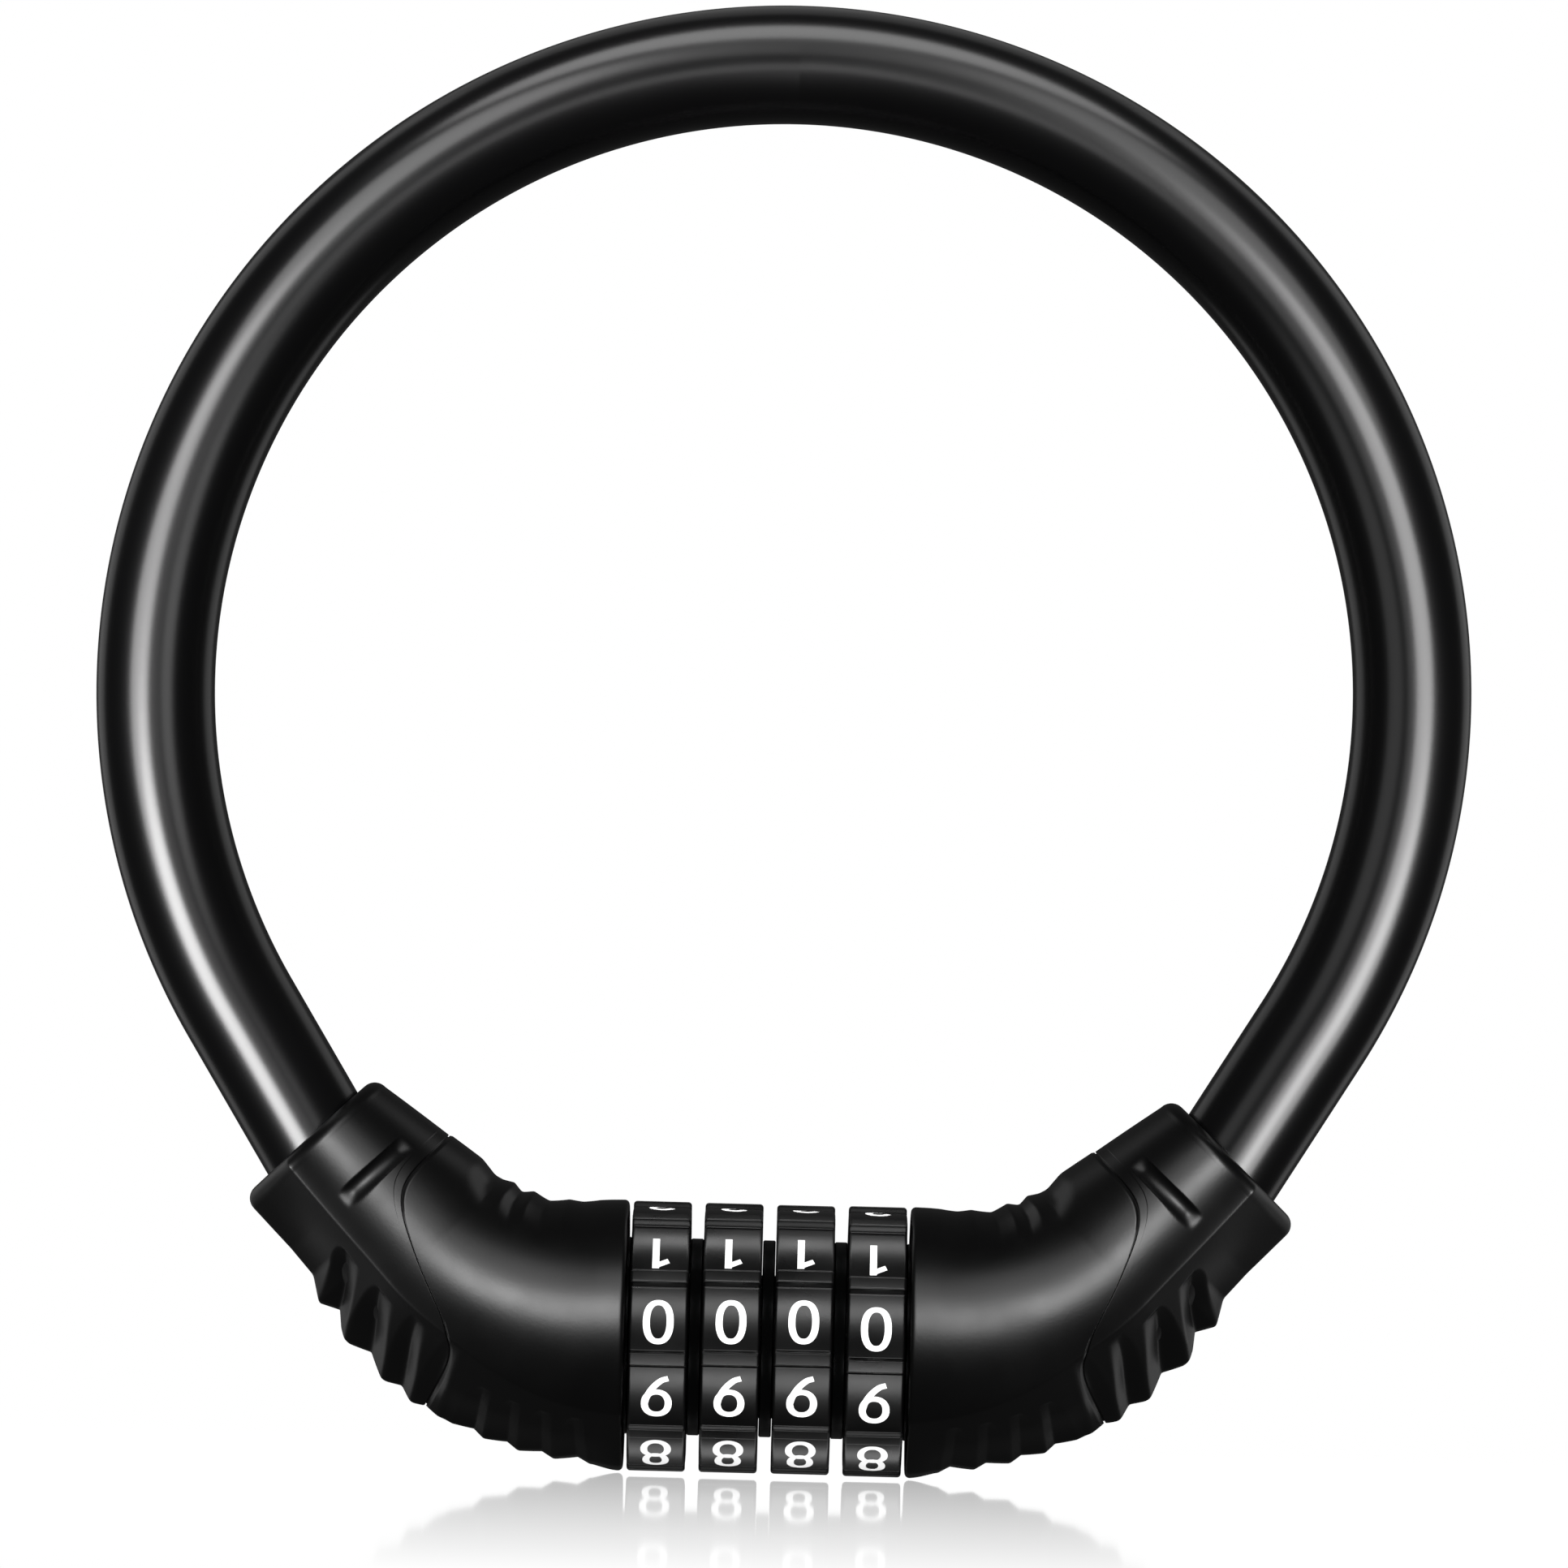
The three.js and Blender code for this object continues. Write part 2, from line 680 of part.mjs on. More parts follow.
function place(group, name, geometry, look) {
  const mesh = new THREE.Mesh(geometry, new THREE.MeshStandardMaterial(look));
  mesh.name = name;
  group.add(mesh);
}

function placeSide(group, side, pinX, pinZ) {
  place(group, `${side}_collar_shell`, collarShell(), blackPlastic);
  place(group, `${side}_grip_shell`, gripShell(pinX, pinZ), blackPlastic);
  place(group, `cable_jacket_${side}`, cableJacket(), blackPvc);
  place(group, `cable_core_${side}`, cableCore(), steel);
  place(group, `${side}_ferrule`, ferrule(), steel);
  place(group, `${side}_ferrule_pin`, ferrulePin(), steel);
  place(group, `${side}_insert_pin`, crossPin(pinX, pinZ), steel);
}

placeSide(rightSide, 'right', carrierPinX, 0);
placeSide(leftSide, 'left', basePinX, basePinZ);

dialMiddles().forEach((middle, i) => {
  place(middleGroup, `dial_${i + 1}`, dial(middle), dialPlastic);
  place(middleGroup, `code_ring_${i + 1}`, codeRing(middle), brass);
  place(middleGroup, `detent_ball_${i + 1}`, detentBall(middle), steel);
  place(middleGroup, `detent_spring_${i + 1}`, detentSpring(middle), steel);
});
spacerMiddles().forEach((middle, i) => {
  place(middleGroup, `spacer_${i + 1}`, spacer(middle), darkSteel);
});
place(middleGroup, 'lock_barrel', barrel(), zinc);
place(middleGroup, 'retaining_clip', retainingClip(), darkSteel);
place(middleGroup, 'barrel_base', barrelBase(), zinc);
place(middleGroup, 'bolt_carrier', boltCarrier(), zinc);
place(middleGroup, 'locking_bolt', lockingBolt(), steel);

export default lock;
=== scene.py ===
# Looks of a four-dial combination cable lock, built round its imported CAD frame. Lengths here are in millimetres.
import json
import math
import bpy
import numpy as np
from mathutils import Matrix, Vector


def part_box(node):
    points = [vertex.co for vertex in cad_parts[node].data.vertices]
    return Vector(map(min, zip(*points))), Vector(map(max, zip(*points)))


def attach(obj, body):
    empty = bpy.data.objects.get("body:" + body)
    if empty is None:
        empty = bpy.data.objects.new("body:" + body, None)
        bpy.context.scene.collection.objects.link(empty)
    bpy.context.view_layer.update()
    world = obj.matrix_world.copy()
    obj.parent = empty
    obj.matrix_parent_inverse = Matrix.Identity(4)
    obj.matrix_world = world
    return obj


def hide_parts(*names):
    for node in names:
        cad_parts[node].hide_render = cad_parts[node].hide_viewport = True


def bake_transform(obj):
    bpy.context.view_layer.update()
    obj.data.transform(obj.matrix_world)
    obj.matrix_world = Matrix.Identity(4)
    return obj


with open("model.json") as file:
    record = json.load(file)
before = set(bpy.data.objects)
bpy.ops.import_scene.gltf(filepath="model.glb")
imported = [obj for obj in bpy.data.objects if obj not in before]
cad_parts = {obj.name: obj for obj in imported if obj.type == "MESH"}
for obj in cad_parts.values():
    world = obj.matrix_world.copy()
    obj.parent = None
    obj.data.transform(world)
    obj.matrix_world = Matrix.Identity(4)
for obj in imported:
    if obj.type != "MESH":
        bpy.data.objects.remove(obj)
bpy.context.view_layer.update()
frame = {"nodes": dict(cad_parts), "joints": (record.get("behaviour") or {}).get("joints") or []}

mm = 0.001
fullTurn = 2 * math.pi
jointAt = {joint["name"]: np.array(joint["pos_m"]) / mm for joint in frame["joints"]}
lockZ = jointAt["dial_turn_1"][2]     # height of the dials' axis
hinge = jointAt["right_flex"]         # where the cable's right end bends
dialCount = 4
dialMiddles = [jointAt[f"dial_turn_{i + 1}"][0] for i in range(dialCount)]
dialPitch = dialMiddles[1] - dialMiddles[0]

# Pieces of each group that has lights of its own.
litGroups = ("cable", "cableLeft", "cableRight", "houseLeft", "houseRight", "dials", "ink", "works", "floor")
litPieces = {group: [] for group in litGroups}


# Eased step from 0 to 1 as the value goes from low to high: three times the share squared, less twice its cube.
def easedStep(low, high, value):
    share = np.clip((value - low) / (high - low), 0, 1)
    return share * share * (3 - 2 * share)


# The smaller of two values, rounded off where they are nearly equal: half of their sum less the root of their
# difference squared plus the amount squared.
def softMin(first, second, amount):
    return (first + second - np.sqrt((first - second) ** 2 + amount ** 2)) / 2


# Curve through stations, rounded by averaging it at five places within reach on each side.
def rounded(value, stations, heights, reach):
    shifts = np.linspace(-reach, reach, 5)
    return sum(np.interp(value + shift, stations, heights) for shift in shifts) / len(shifts)


# Quads of a grid of rows by columns. Each row is a closed ring, and the last row is joined to the first or not.
def gridQuads(rows, columns, joinRows=True):
    i, j = np.meshgrid(np.arange(rows if joinRows else rows - 1), np.arange(columns), indexing="ij")
    after, beside = (i + 1) % rows, (j + 1) % columns
    quads = np.stack([i * columns + j, after * columns + j, after * columns + beside, i * columns + beside], -1)
    return quads.reshape(-1, 4)


# Six times the volume enclosed by quads, each taken as two triangles: positive when they face out.
def enclosed(points, quads):
    a, b, c, d = (points[quads[:, k]] for k in range(4))
    return np.sum(a * np.cross(b, c)) + np.sum(a * np.cross(c, d))


# Flat end face, turned round if the normal of its first three points doesn't face away from the inside point.
def facingAway(points, face, inside):
    corners = points[face]
    normal = np.cross(corners[1] - corners[0], corners[2] - corners[0])
    return face if np.dot(normal, corners.mean(0) - inside) > 0 else face[::-1]


# Object from points and quads, with optional flat end faces, all facing out. Edges over the sharp angle, in
# degrees, stay sharp. The lights of the groups in lit fall on it.
def makePiece(name, points, quads, material, standsFor=(), ends=(), sharp=38, lit=("works",)):
    points = np.asarray(points, float).reshape(-1, 3)
    faces = quads.tolist() + [end.tolist() for end in ends]
    if enclosed(points, quads) < 0:
        faces = [face[::-1] for face in faces]
    mesh = bpy.data.meshes.new(name)
    mesh.from_pydata((points * mm).tolist(), [], faces)
    mesh.shade_smooth()
    mesh.set_sharp_from_angle(angle=math.radians(sharp))
    mesh.materials.append(material)
    piece = bpy.data.objects.new(name, mesh)
    bpy.context.scene.collection.objects.link(piece)
    for group in lit:
        litPieces[group].append(piece)
    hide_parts(*standsFor)
    return piece


# Points at distances along X, radii and angles about the dials' axis, measured from the front upwards: the
# radius times the cosine goes to the front and the radius times the sine goes up.
def aboutAxis(x, radius, angle):
    x, radius, angle = np.broadcast_arrays(x, radius, angle)
    return np.stack([x, -radius * np.cos(angle), lockZ + radius * np.sin(angle)], -1)


# Quarter round as shares of its radius: how far along, one less the cosine, and how far under the skin, one
# less the sine.
def quarterRound(count):
    turn = np.linspace(0, math.pi / 2, count)
    return 1 - np.cos(turn), 1 - np.sin(turn)


# Fine grain of a moulded surface, the same in every finish apart from its scales.
grain = {
    "fineDetail": 3.0,
    "fineRoughness": 0.6,
    "slowDetail": 4.0,
    "slowRoughness": 0.55,
    "maskLow": 0.3,           # the slow noise between these spreads the roughness
    "maskHigh": 0.7,
    "bumpDistance": 0.1,
}

# Colour, roughness and its spread, metal share, and the depth and scales of the grain.
looks = {
    "housingPlastic": {"color": (0.0011, 0.0011, 0.0012), "roughness": 0.34, "spread": 0.05, "metal": 0.0,
                       "bump": 0.05, "fine": 2600, "slow": 70},
    "cablePvc": {"color": (0.0006, 0.0006, 0.0007), "roughness": 0.24, "spread": 0.02, "metal": 0.0,
                 "bump": 0.02, "fine": 900, "slow": 30},
    "dialPlastic": {"color": (0.0012, 0.0012, 0.0013), "roughness": 0.3, "spread": 0.05, "metal": 0.0,
                    "bump": 0.04, "fine": 2600, "slow": 120},
    "whiteInk": {"color": (0.8, 0.8, 0.8), "roughness": 0.5, "spread": 0.05, "metal": 0.0,
                 "bump": 0.05, "fine": 3000, "slow": 200},
    "steel": {"color": (0.42, 0.43, 0.44), "roughness": 0.3, "spread": 0.12, "metal": 1.0,
              "bump": 0.1, "fine": 1800, "slow": 150},
    "zinc": {"color": (0.33, 0.335, 0.34), "roughness": 0.45, "spread": 0.12, "metal": 1.0,
             "bump": 0.25, "fine": 1200, "slow": 150},
    "brass": {"color": (0.52, 0.36, 0.12), "roughness": 0.32, "spread": 0.1, "metal": 1.0,
              "bump": 0.1, "fine": 1800, "slow": 150},
    "darkSteel": {"color": (0.02, 0.021, 0.022), "roughness": 0.35, "spread": 0.1, "metal": 0.6,
                  "bump": 0.05, "fine": 2000, "slow": 150},
}


# Node of a kind, with values for its inputs or, where it has no such input, for its settings.
def nodeIn(tree, kind, **values):
    node = tree.nodes.new(kind)
    for name, value in values.items():
        if name in node.inputs:
            node.inputs[name].default_value = value
        else:
            setattr(node, name, value)
    return node


# Node group of the grain: a fine noise is its height, and a slow noise its mask.
def makeGrainGroup():
    group = bpy.data.node_groups.new("surfaceGrain", "ShaderNodeTree")
    for name, way in (("Fine Scale", "INPUT"), ("Slow Scale", "INPUT"), ("Height", "OUTPUT"), ("Mask", "OUTPUT")):
        group.interface.new_socket(name, in_out=way, socket_type="NodeSocketFloat")
    start = group.nodes.new("NodeGroupInput")
    end = group.nodes.new("NodeGroupOutput")
    place = group.nodes.new("ShaderNodeTexCoord")
    fine = nodeIn(group, "ShaderNodeTexNoise", Detail=grain["fineDetail"], Roughness=grain["fineRoughness"])
    slow = nodeIn(group, "ShaderNodeTexNoise", Detail=grain["slowDetail"], Roughness=grain["slowRoughness"])
    for noise, scale, result in ((fine, "Fine Scale", "Height"), (slow, "Slow Scale", "Mask")):
        group.links.new(place.outputs["Object"], noise.inputs["Vector"])
        group.links.new(start.outputs[scale], noise.inputs["Scale"])
        group.links.new(noise.outputs["Fac"], end.inputs[result])
    return group


grainGroup = makeGrainGroup()


# Material from one entry of looks: the grain's mask spreads the roughness, and its height is a faint bump.
def makeFinish(name):
    values = looks[name]
    material = bpy.data.materials.new(name)
    material.use_nodes = True
    tree = material.node_tree
    shader = tree.nodes["Principled BSDF"]
    shader.inputs["Base Color"].default_value = (*values["color"], 1)
    shader.inputs["Metallic"].default_value = values["metal"]
    surface = nodeIn(tree, "ShaderNodeGroup", node_tree=grainGroup)
    surface.inputs["Fine Scale"].default_value = values["fine"]
    surface.inputs["Slow Scale"].default_value = values["slow"]
    spread = nodeIn(tree, "ShaderNodeMapRange", **{
        "From Min": grain["maskLow"],
        "From Max": grain["maskHigh"],
        "To Min": values["roughness"] - values["spread"],
        "To Max": values["roughness"] + values["spread"],
    })
    bump = nodeIn(tree, "ShaderNodeBump", Strength=values["bump"], Distance=grain["bumpDistance"] * mm)
    tree.links.new(surface.outputs["Mask"], spread.inputs["Value"])
    tree.links.new(spread.outputs["Result"], shader.inputs["Roughness"])
    tree.links.new(surface.outputs["Height"], bump.inputs["Height"])
    tree.links.new(bump.outputs["Normal"], shader.inputs["Normal"])
    return material


finishes = {name: makeFinish(name) for name in looks}
print("finishes made:", len(finishes))

cable = {
    "loopRadius": 63.6,       # centreline of the round part
    "radius": 6.0,
    "bore": 3.9,
    "straightRun": 15.6,      # hinge to the start of the round part
    "buried": 1.8,            # past the hinge, inside the collar
    "kink": 12.5,             # degrees between the collar and the cable
    "bendFrom": 2.5,          # the bend at the hinge starts here, inside the collar
    "bendTo": 14.0,           # and ends here, outside it
    "topBend": 50.0,          # reach of the bend at the top of the loop, each side
    "around": 72,
    "step": 1.0,
}

# A housing's axis runs straight from the mouth by the dials, bends, and runs straight to the collar's end.
housing = {
    "mouthX": 14.25,
    "lead": 3.0,
    "bendRadius": 25.0,
    "tail": 16.4,
    "hingeDepth": 0.8,
    "mouthRadius": 13.7,
    "collarRadius": 8.7,
    "taperPower": 1.6,
    "endRounding": 1.5,
    "mouthRounding": 0.5,
    "edgeRounding": 0.1,      # collar's edge at the seam
    "chamferWide": 0.24,      # grip's edge at the seam
    "chamferDeep": 0.13,
    "wall": 2.9,
    "seatRadius": 10.5,
    "seatDepth": 9.0,
    "lipRadius": 6.6,
    "lipDepth": 1.2,
    "throatRadius": 7.6,
    "throatDepth": 3.4,
    "spigotLength": 3.5,
    "spigotGap": 0.4,
    "spigotWall": 1.1,
    "aroundCount": 400,
    "alongCount": 150,
    "edgeSteps": 5,
    "mouthSteps": 7,
    "endSteps": 10,
}


# Angle at which the cable leaves the collar, so that its straight run meets the round part smoothly: the
# arcsine of the lead's share of the two terms plus their arctangent.
def leavingAngle():
    kink = math.radians(cable["kink"])
    tail = housing["tail"] - housing["hingeDepth"]
    sineTerm = cable["loopRadius"] - housing["bendRadius"] * math.cos(kink) - tail * math.sin(kink)
    cosineTerm = cable["straightRun"] - housing["bendRadius"] * math.sin(kink) + tail * math.cos(kink)
    lead = housing["mouthX"] + housing["lead"]
    return math.asin(lead / math.hypot(sineTerm, cosineTerm)) + math.atan2(cosineTerm, sineTerm)


exitAngle = leavingAngle()
houseBend = exitAngle - math.radians(cable["kink"])
bendEnd = housing["lead"] + housing["bendRadius"] * houseBend
houseLength = bendEnd + housing["tail"]
loopZ = hinge[2] + cable["straightRun"] * math.sin(exitAngle) + cable["loopRadius"] * math.cos(exitAngle)


# Centre and outward angle of the right half of the cable, from the distance past the hinge: straight up to
# straightRun, then round the loop's centre.
def cableCentre(past):
    angle = exitAngle - math.pi / 2 + np.maximum(past - cable["straightRun"], 0) / cable["loopRadius"]
    onLine = past < cable["straightRun"]
    x = np.where(onLine, hinge[0] + past * math.cos(exitAngle), cable["loopRadius"] * np.cos(angle))
    z = np.where(onLine, hinge[2] + past * math.sin(exitAngle), loopZ + cable["loopRadius"] * np.sin(angle))
    return x, z, angle


# Tube from one distance past the hinge to another: circles across the centreline, the outside one way and
# then the bore back.
def cablePiece(name, start, end, mirrored, standsFor):
    count = int((end - start) / cable["step"]) + 2
    past = np.linspace(start, end, count)
    past = np.concatenate([past, past[::-1]])
    radius = np.repeat([cable["radius"], cable["bore"]], count)[:, None]
    x, z, angle = (value[:, None] for value in cableCentre(past))
    turn = np.linspace(0, fullTurn, cable["around"], endpoint=False)[None, :]
    out = radius * np.cos(turn)
    points = np.stack([x + out * np.cos(angle), radius * np.sin(turn) + 0 * x, z + out * np.sin(angle)], -1)
    if mirrored:
        points = points * (-1, 1, 1)
    quads = gridQuads(2 * count, cable["around"])
    side = "cableLeft" if mirrored else "cableRight"
    return makePiece(name, points, quads, finishes["cablePvc"], standsFor, lit=("cable", side))


# Each half of the cover in two pieces, which meet where the loop is widest: the low one starts inside its collar,
# and the high one ends at the top of the loop.
def makeCable():
    widest = cable["straightRun"] + cable["loopRadius"] * (math.pi / 2 - exitAngle)
    top = widest + math.pi / 2 * cable["loopRadius"]
    for side, sign, body, half in (("right", 1, "plug", "cable_right"), ("left", -1, "lock_body", "cable_left")):
        jacket = (f"cable_jacket_{side}",)
        low = cablePiece(f"cover_{side}", -cable["buried"], widest, sign < 0, jacket)
        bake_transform(low)
        high = cablePiece(f"cover_top_{side}", widest, top, sign < 0, jacket)
        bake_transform(high)
    print("cable made")


# Point of the right housing: its axis runs straight, bends and runs straight again, and the point lies at a
# radius and an angle round it.
def housePoint(along, around, radius):
    turned = np.clip((along - housing["lead"]) / housing["bendRadius"], 0, houseBend)
    lead = np.minimum(along, housing["lead"])
    tail = np.maximum(along - bendEnd, 0)
    axisX = housing["mouthX"] + lead + housing["bendRadius"] * np.sin(turned) + tail * np.cos(turned)
    axisZ = housing["bendRadius"] * (1 - np.cos(turned)) + tail * np.sin(turned)
    inPlane = radius * np.sin(around)
    return np.stack([
        axisX - inPlane * np.sin(turned),
        -radius * np.cos(around),
        lockZ + axisZ + inPlane * np.cos(turned),
    ], -1)


# Height of a direction round the axis above the middle plane, in degrees, the same for front and back.
def heightOf(around):
    return np.degrees(np.arctan2(np.sin(around), np.abs(np.cos(around))))


# Outside radius before anything is sunk into it: it shrinks with a power of the share of the length.
def taperAt(along):
    share = np.clip(along / houseLength, 0, 1)
    shrink = housing["mouthRadius"] - housing["collarRadius"]
    return housing["mouthRadius"] - shrink * share ** housing["taperPower"]


# Bore radius: a wall inside the taper, and not under the throat.
def boreAt(along):
    return np.maximum(taperAt(along) - housing["wall"], housing["throatRadius"])


# Seam between the two shells. Under it the grip has a tongue that lies in the collar's step.
seam = {
    "middle": 22.55,
    "half": 7.45,
    "tilt": -1.0,
    "spread": 15.2,
    "gap": 0.1,
    "step": 0.12,             # collar under the grip's skin
    "tongue": 1.0,
    "tongueUnder": 0.18,
    "tonguePlay": 0.04,
    "tonguePast": 0.15,
}


# Distance along the axis of the seam: an S up the side, the hyperbolic tangent of the height.
def seamAt(around):
    return seam["middle"] + seam["half"] * np.tanh((heightOf(around) - seam["tilt"]) / seam["spread"])


# Finger scoops on the collar: distance along the axis of each crest and of the valley beside it, the rise
# back to the next crest, the depth, the lean towards the cable at the top, and the height of the top.
scoops = [
    (26.4, 24.3, 2.3, 1.5, 4.4, -31.0),
    (22.0, 20.2, 1.8, 1.3, 3.3, -28.0),
    (18.4, 17.1, 1.2, 0.9, 2.4, -23.0),
    (16.1, 14.9, 1.0, 0.7, 0.9, -21.0),
]

# The collar's low side: how far it lies under the taper at distances along the axis, proud of it at the end.
lowSide = {
    "along": [26.4, 28.9, 32.4, 36.0, 39.0, 42.0],
    "depth": [0.0, 1.1, 0.65, -0.05, -0.65, -1.3],
    "top": -24.0,
    "rounding": 0.25,
}

# What all the scoops share: how square their arch is, the least width left between crest and valley line, and
# how far their edges are rounded.
leaf = {"archPower": 2.4, "leastWidth": 0.01, "rounding": 0.2}


# Depth of one leaf-shaped scoop: a slope from its crest line down to its valley line and a rise beyond it.
# The crest line closes on the valley line in an arch at the top, and both lean towards the cable.
def leafAt(along, height, crest, valley, rise, depth, lean, top):
    up = np.clip((height + 90) / (top + 90), 0, 1)
    arch = np.sqrt(1 - up ** leaf["archPower"])
    low = valley + lean * up
    high = low + (crest - valley) * arch + leaf["leastWidth"]
    slope = np.minimum((high - along) / (crest - valley), arch * (along - low + rise) / rise)
    return depth * np.clip(slope, 0, 1)


# Depth of the finger scoops and of the collar's low side, rounded by averaging a little to each side.
def scoopAt(along, height):
    shifts = np.linspace(-leaf["rounding"], leaf["rounding"], 5)
    total = sum(leafAt(along + shift, height, *values) for shift in shifts for values in scoops) / len(shifts)
    under = 1 - easedStep(-90, lowSide["top"], height)
    return total + rounded(along, lowSide["along"], lowSide["depth"], lowSide["rounding"]) * under


# Low steps on the inner side of the grip, for the fingers: their depth at distances along the axis, the
# heights where they begin and are full, and how far their lower ends lean back.
lumps = {
    "along": [2.0, 6.6, 9.6, 13.4, 17.0, 18.8, 21.1, 23.9, 26.0, 30.0],
    "depth": [0.0, 0.15, 0.0, 0.5, 0.0, 0.55, 0.0, 0.5, 0.0, 0.1],
    "from": 38.0,
    "full": 66.0,
    "lean": 1.2,
    "rounding": 0.3,
}


# Depth of the steps: the curve through their stations, eased in from the side.
def lumpAt(along, height):
    up = easedStep(lumps["from"], lumps["full"], height)
    place = along + lumps["lean"] * (1 - up)
    return rounded(place, lumps["along"], lumps["depth"], lumps["rounding"]) * up


# Recess under the grip, full below fullUnder and gone above goneOver, with short scoops in it: the crest of
# the first, and the sizes of each.
flank = {
    "from": 0.4,
    "deepFrom": 4.2,
    "fadeFrom": 13.4,
    "to": 15.4,
    "fullUnder": -80.0,
    "goneOver": -50.0,
    "depth": 0.6,
    "first": 5.5,
    "pitch": 2.45,
    "count": 4,
    "width": 1.5,
    "rise": 0.8,
    "scoop": 0.5,
    "lean": 0.5,
    "top": -38.0,
}


# Depth of the recess, eased in from the mouth and out again, plus that of its short leaf-shaped scoops.
def flankAt(along, height):
    inside = easedStep(flank["from"], flank["deepFrom"], along)
    inside = inside * (1 - easedStep(flank["fadeFrom"], flank["to"], along))
    total = inside * (1 - easedStep(flank["fullUnder"], flank["goneOver"], height)) * flank["depth"]
    for crest in flank["first"] + flank["pitch"] * np.arange(flank["count"]):
        total = total + leafAt(along, height, crest, crest - flank["width"], flank["rise"], flank["scoop"],
                               flank["lean"], flank["top"])
    return total


# Long groove across the collar: its middle and half length are heights in degrees, and it fades out between
# two shares of that half length.
groove = {
    "fromEnd": 7.1,
    "width": 2.0,
    "depth": 0.42,
    "middle": 18.0,
    "half": 26.0,
    "fadeFrom": 0.7,
    "fadeTo": 1.1,
    "squareness": 0.8,        # power of its section: lower is squarer
}


# Depth of the groove: near a half round across it, eased out at both ends.
def grooveAt(along, height):
    across = (along - houseLength + groove["fromEnd"]) / (groove["width"] / 2)
    lengthways = (height - groove["middle"]) / groove["half"]
    ends = 1 - easedStep(groove["fadeFrom"], groove["fadeTo"], np.abs(lengthways))
    return groove["depth"] * np.clip(1 - across ** 2, 0, 1) ** groove["squareness"] * ends


# The flat facet low on each flank: its half width in degrees at distances along the axis.
facet = {
    "tilt": -52.0,
    "along": [0.0, 4.0, 10.0, 16.0, 26.0, 40.0],
    "half": [19.0, 21.5, 28.0, 34.0, 33.0, 29.0],
    "rounding": 2.0,
    "crease": 0.07,
    "widest": 75,
}


# Radius of the outside of a housing: the smaller of the taper and the flat facet, less what is sunk into it.
def outsideAt(along, around):
    height = heightOf(around)
    radius = taperAt(along)
    half = np.radians(rounded(along, facet["along"], facet["half"], facet["rounding"]))
    off = np.radians(np.clip(np.abs(height - facet["tilt"]), 0, facet["widest"]))
    flat = radius * np.cos(half) / np.cos(off)
    skin = softMin(radius, flat, facet["crease"])
    sunk = scoopAt(along, height) + lumpAt(along, height) + flankAt(along, height) + grooveAt(along, height)
    return skin - sunk


# Section of the collar's shell for each direction: outside from seam to end, the rounded end, the bore back
# and the step for the tongue.
def collarSection(around):
    start = seamAt(around) + seam["gap"] / 2
    shoulder = houseLength - housing["endRounding"]
    near, drop = quarterRound(housing["edgeSteps"])
    first = start + housing["edgeRounding"]
    share = np.linspace(0, 1, housing["alongCount"])[1:]
    outer = np.concatenate([start + housing["edgeRounding"] * near, first + (shoulder - first) * share], 1)
    skin = outsideAt(outer, around) - seam["step"]
    skin[:, :len(drop)] -= housing["edgeRounding"] * drop
    turn = np.linspace(0, math.pi / 2, housing["endSteps"])[1:]
    end = shoulder + housing["endRounding"] * np.sin(turn) + 0 * around
    endSkin = skin[:, -1:] - housing["endRounding"] * (1 - np.cos(turn))
    throat = houseLength - housing["throatDepth"]
    lip = np.array([houseLength, houseLength - housing["lipDepth"], throat]) + 0 * around
    lipSkin = np.array([housing["lipRadius"], housing["lipRadius"], boreAt(throat)]) + 0 * around
    step = start + seam["tongue"] + seam["tonguePast"]
    inner = throat + (step - throat) * np.array([0.33, 0.67, 1.0])  # in three stretches, as the bore tapers
    stepSkin = outsideAt(start, around) - seam["step"] - seam["tongueUnder"] + np.zeros(2)
    return (np.concatenate([outer, end, lip, inner, step, start], 1),
            np.concatenate([skin, endSkin, lipSkin, boreAt(inner), stepSkin], 1))


# Section of the grip's shell: the rounded mouth, outside to the seam, the tongue, the spigot and the bore back.
def gripSection(around):
    end = seamAt(around) - seam["gap"] / 2
    first = housing["mouthRounding"]
    near, drop = quarterRound(housing["mouthSteps"])
    last = end - housing["chamferWide"]
    share = np.linspace(0, 1, housing["alongCount"])[1:]
    chamfer = np.array([0.08, 0.92, 1.0])
    outer = np.concatenate([first * near + 0 * around, first + (last - first) * share,
                            last + housing["chamferWide"] * chamfer], 1)
    skin = outsideAt(outer, around)
    skin[:, :len(drop)] -= first * drop
    skin[:, -len(chamfer):] -= housing["chamferDeep"] * chamfer
    tongue = np.concatenate([end, end + seam["tongue"]], 1)
    tongueDepth = seam["step"] + seam["tongueUnder"] + seam["tonguePlay"]
    tongueSkin = outsideAt(end, around) - tongueDepth + np.zeros(2)
    tip = end + housing["spigotLength"]
    spigot = np.concatenate([tongue[:, 1:], tip, tip, end], 1)
    spigotSkin = boreAt(spigot) - housing["spigotGap"] - np.array([0, 0, 1, 1]) * housing["spigotWall"]
    seat = np.array([housing["seatDepth"], 0]) + 0 * around
    seatSkin = housing["seatRadius"] + 0 * seat
    return (np.concatenate([outer, tongue, spigot, seat], 1),
            np.concatenate([skin, tongueSkin, spigotSkin, seatSkin], 1))


# Shell as a closed grid: its section in every direction round the axis. The left one is the right one mirrored.
def makeShell(side, kind, section):
    around = np.linspace(0, fullTurn, housing["aroundCount"], endpoint=False)[:, None]
    along, radius = section(around)
    points = housePoint(along, around, radius)
    if side == "left":
        points = points * (-1, 1, 1)
    body, group = {"left": ("lock_body", "houseLeft"), "right": ("plug", "houseRight")}[side]
    piece = makePiece(f"skin_{side}_{kind}", points, gridQuads(*along.shape), finishes["housingPlastic"],
                      (f"{side}_{kind}_shell",), lit=(group,))
    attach(piece, body)


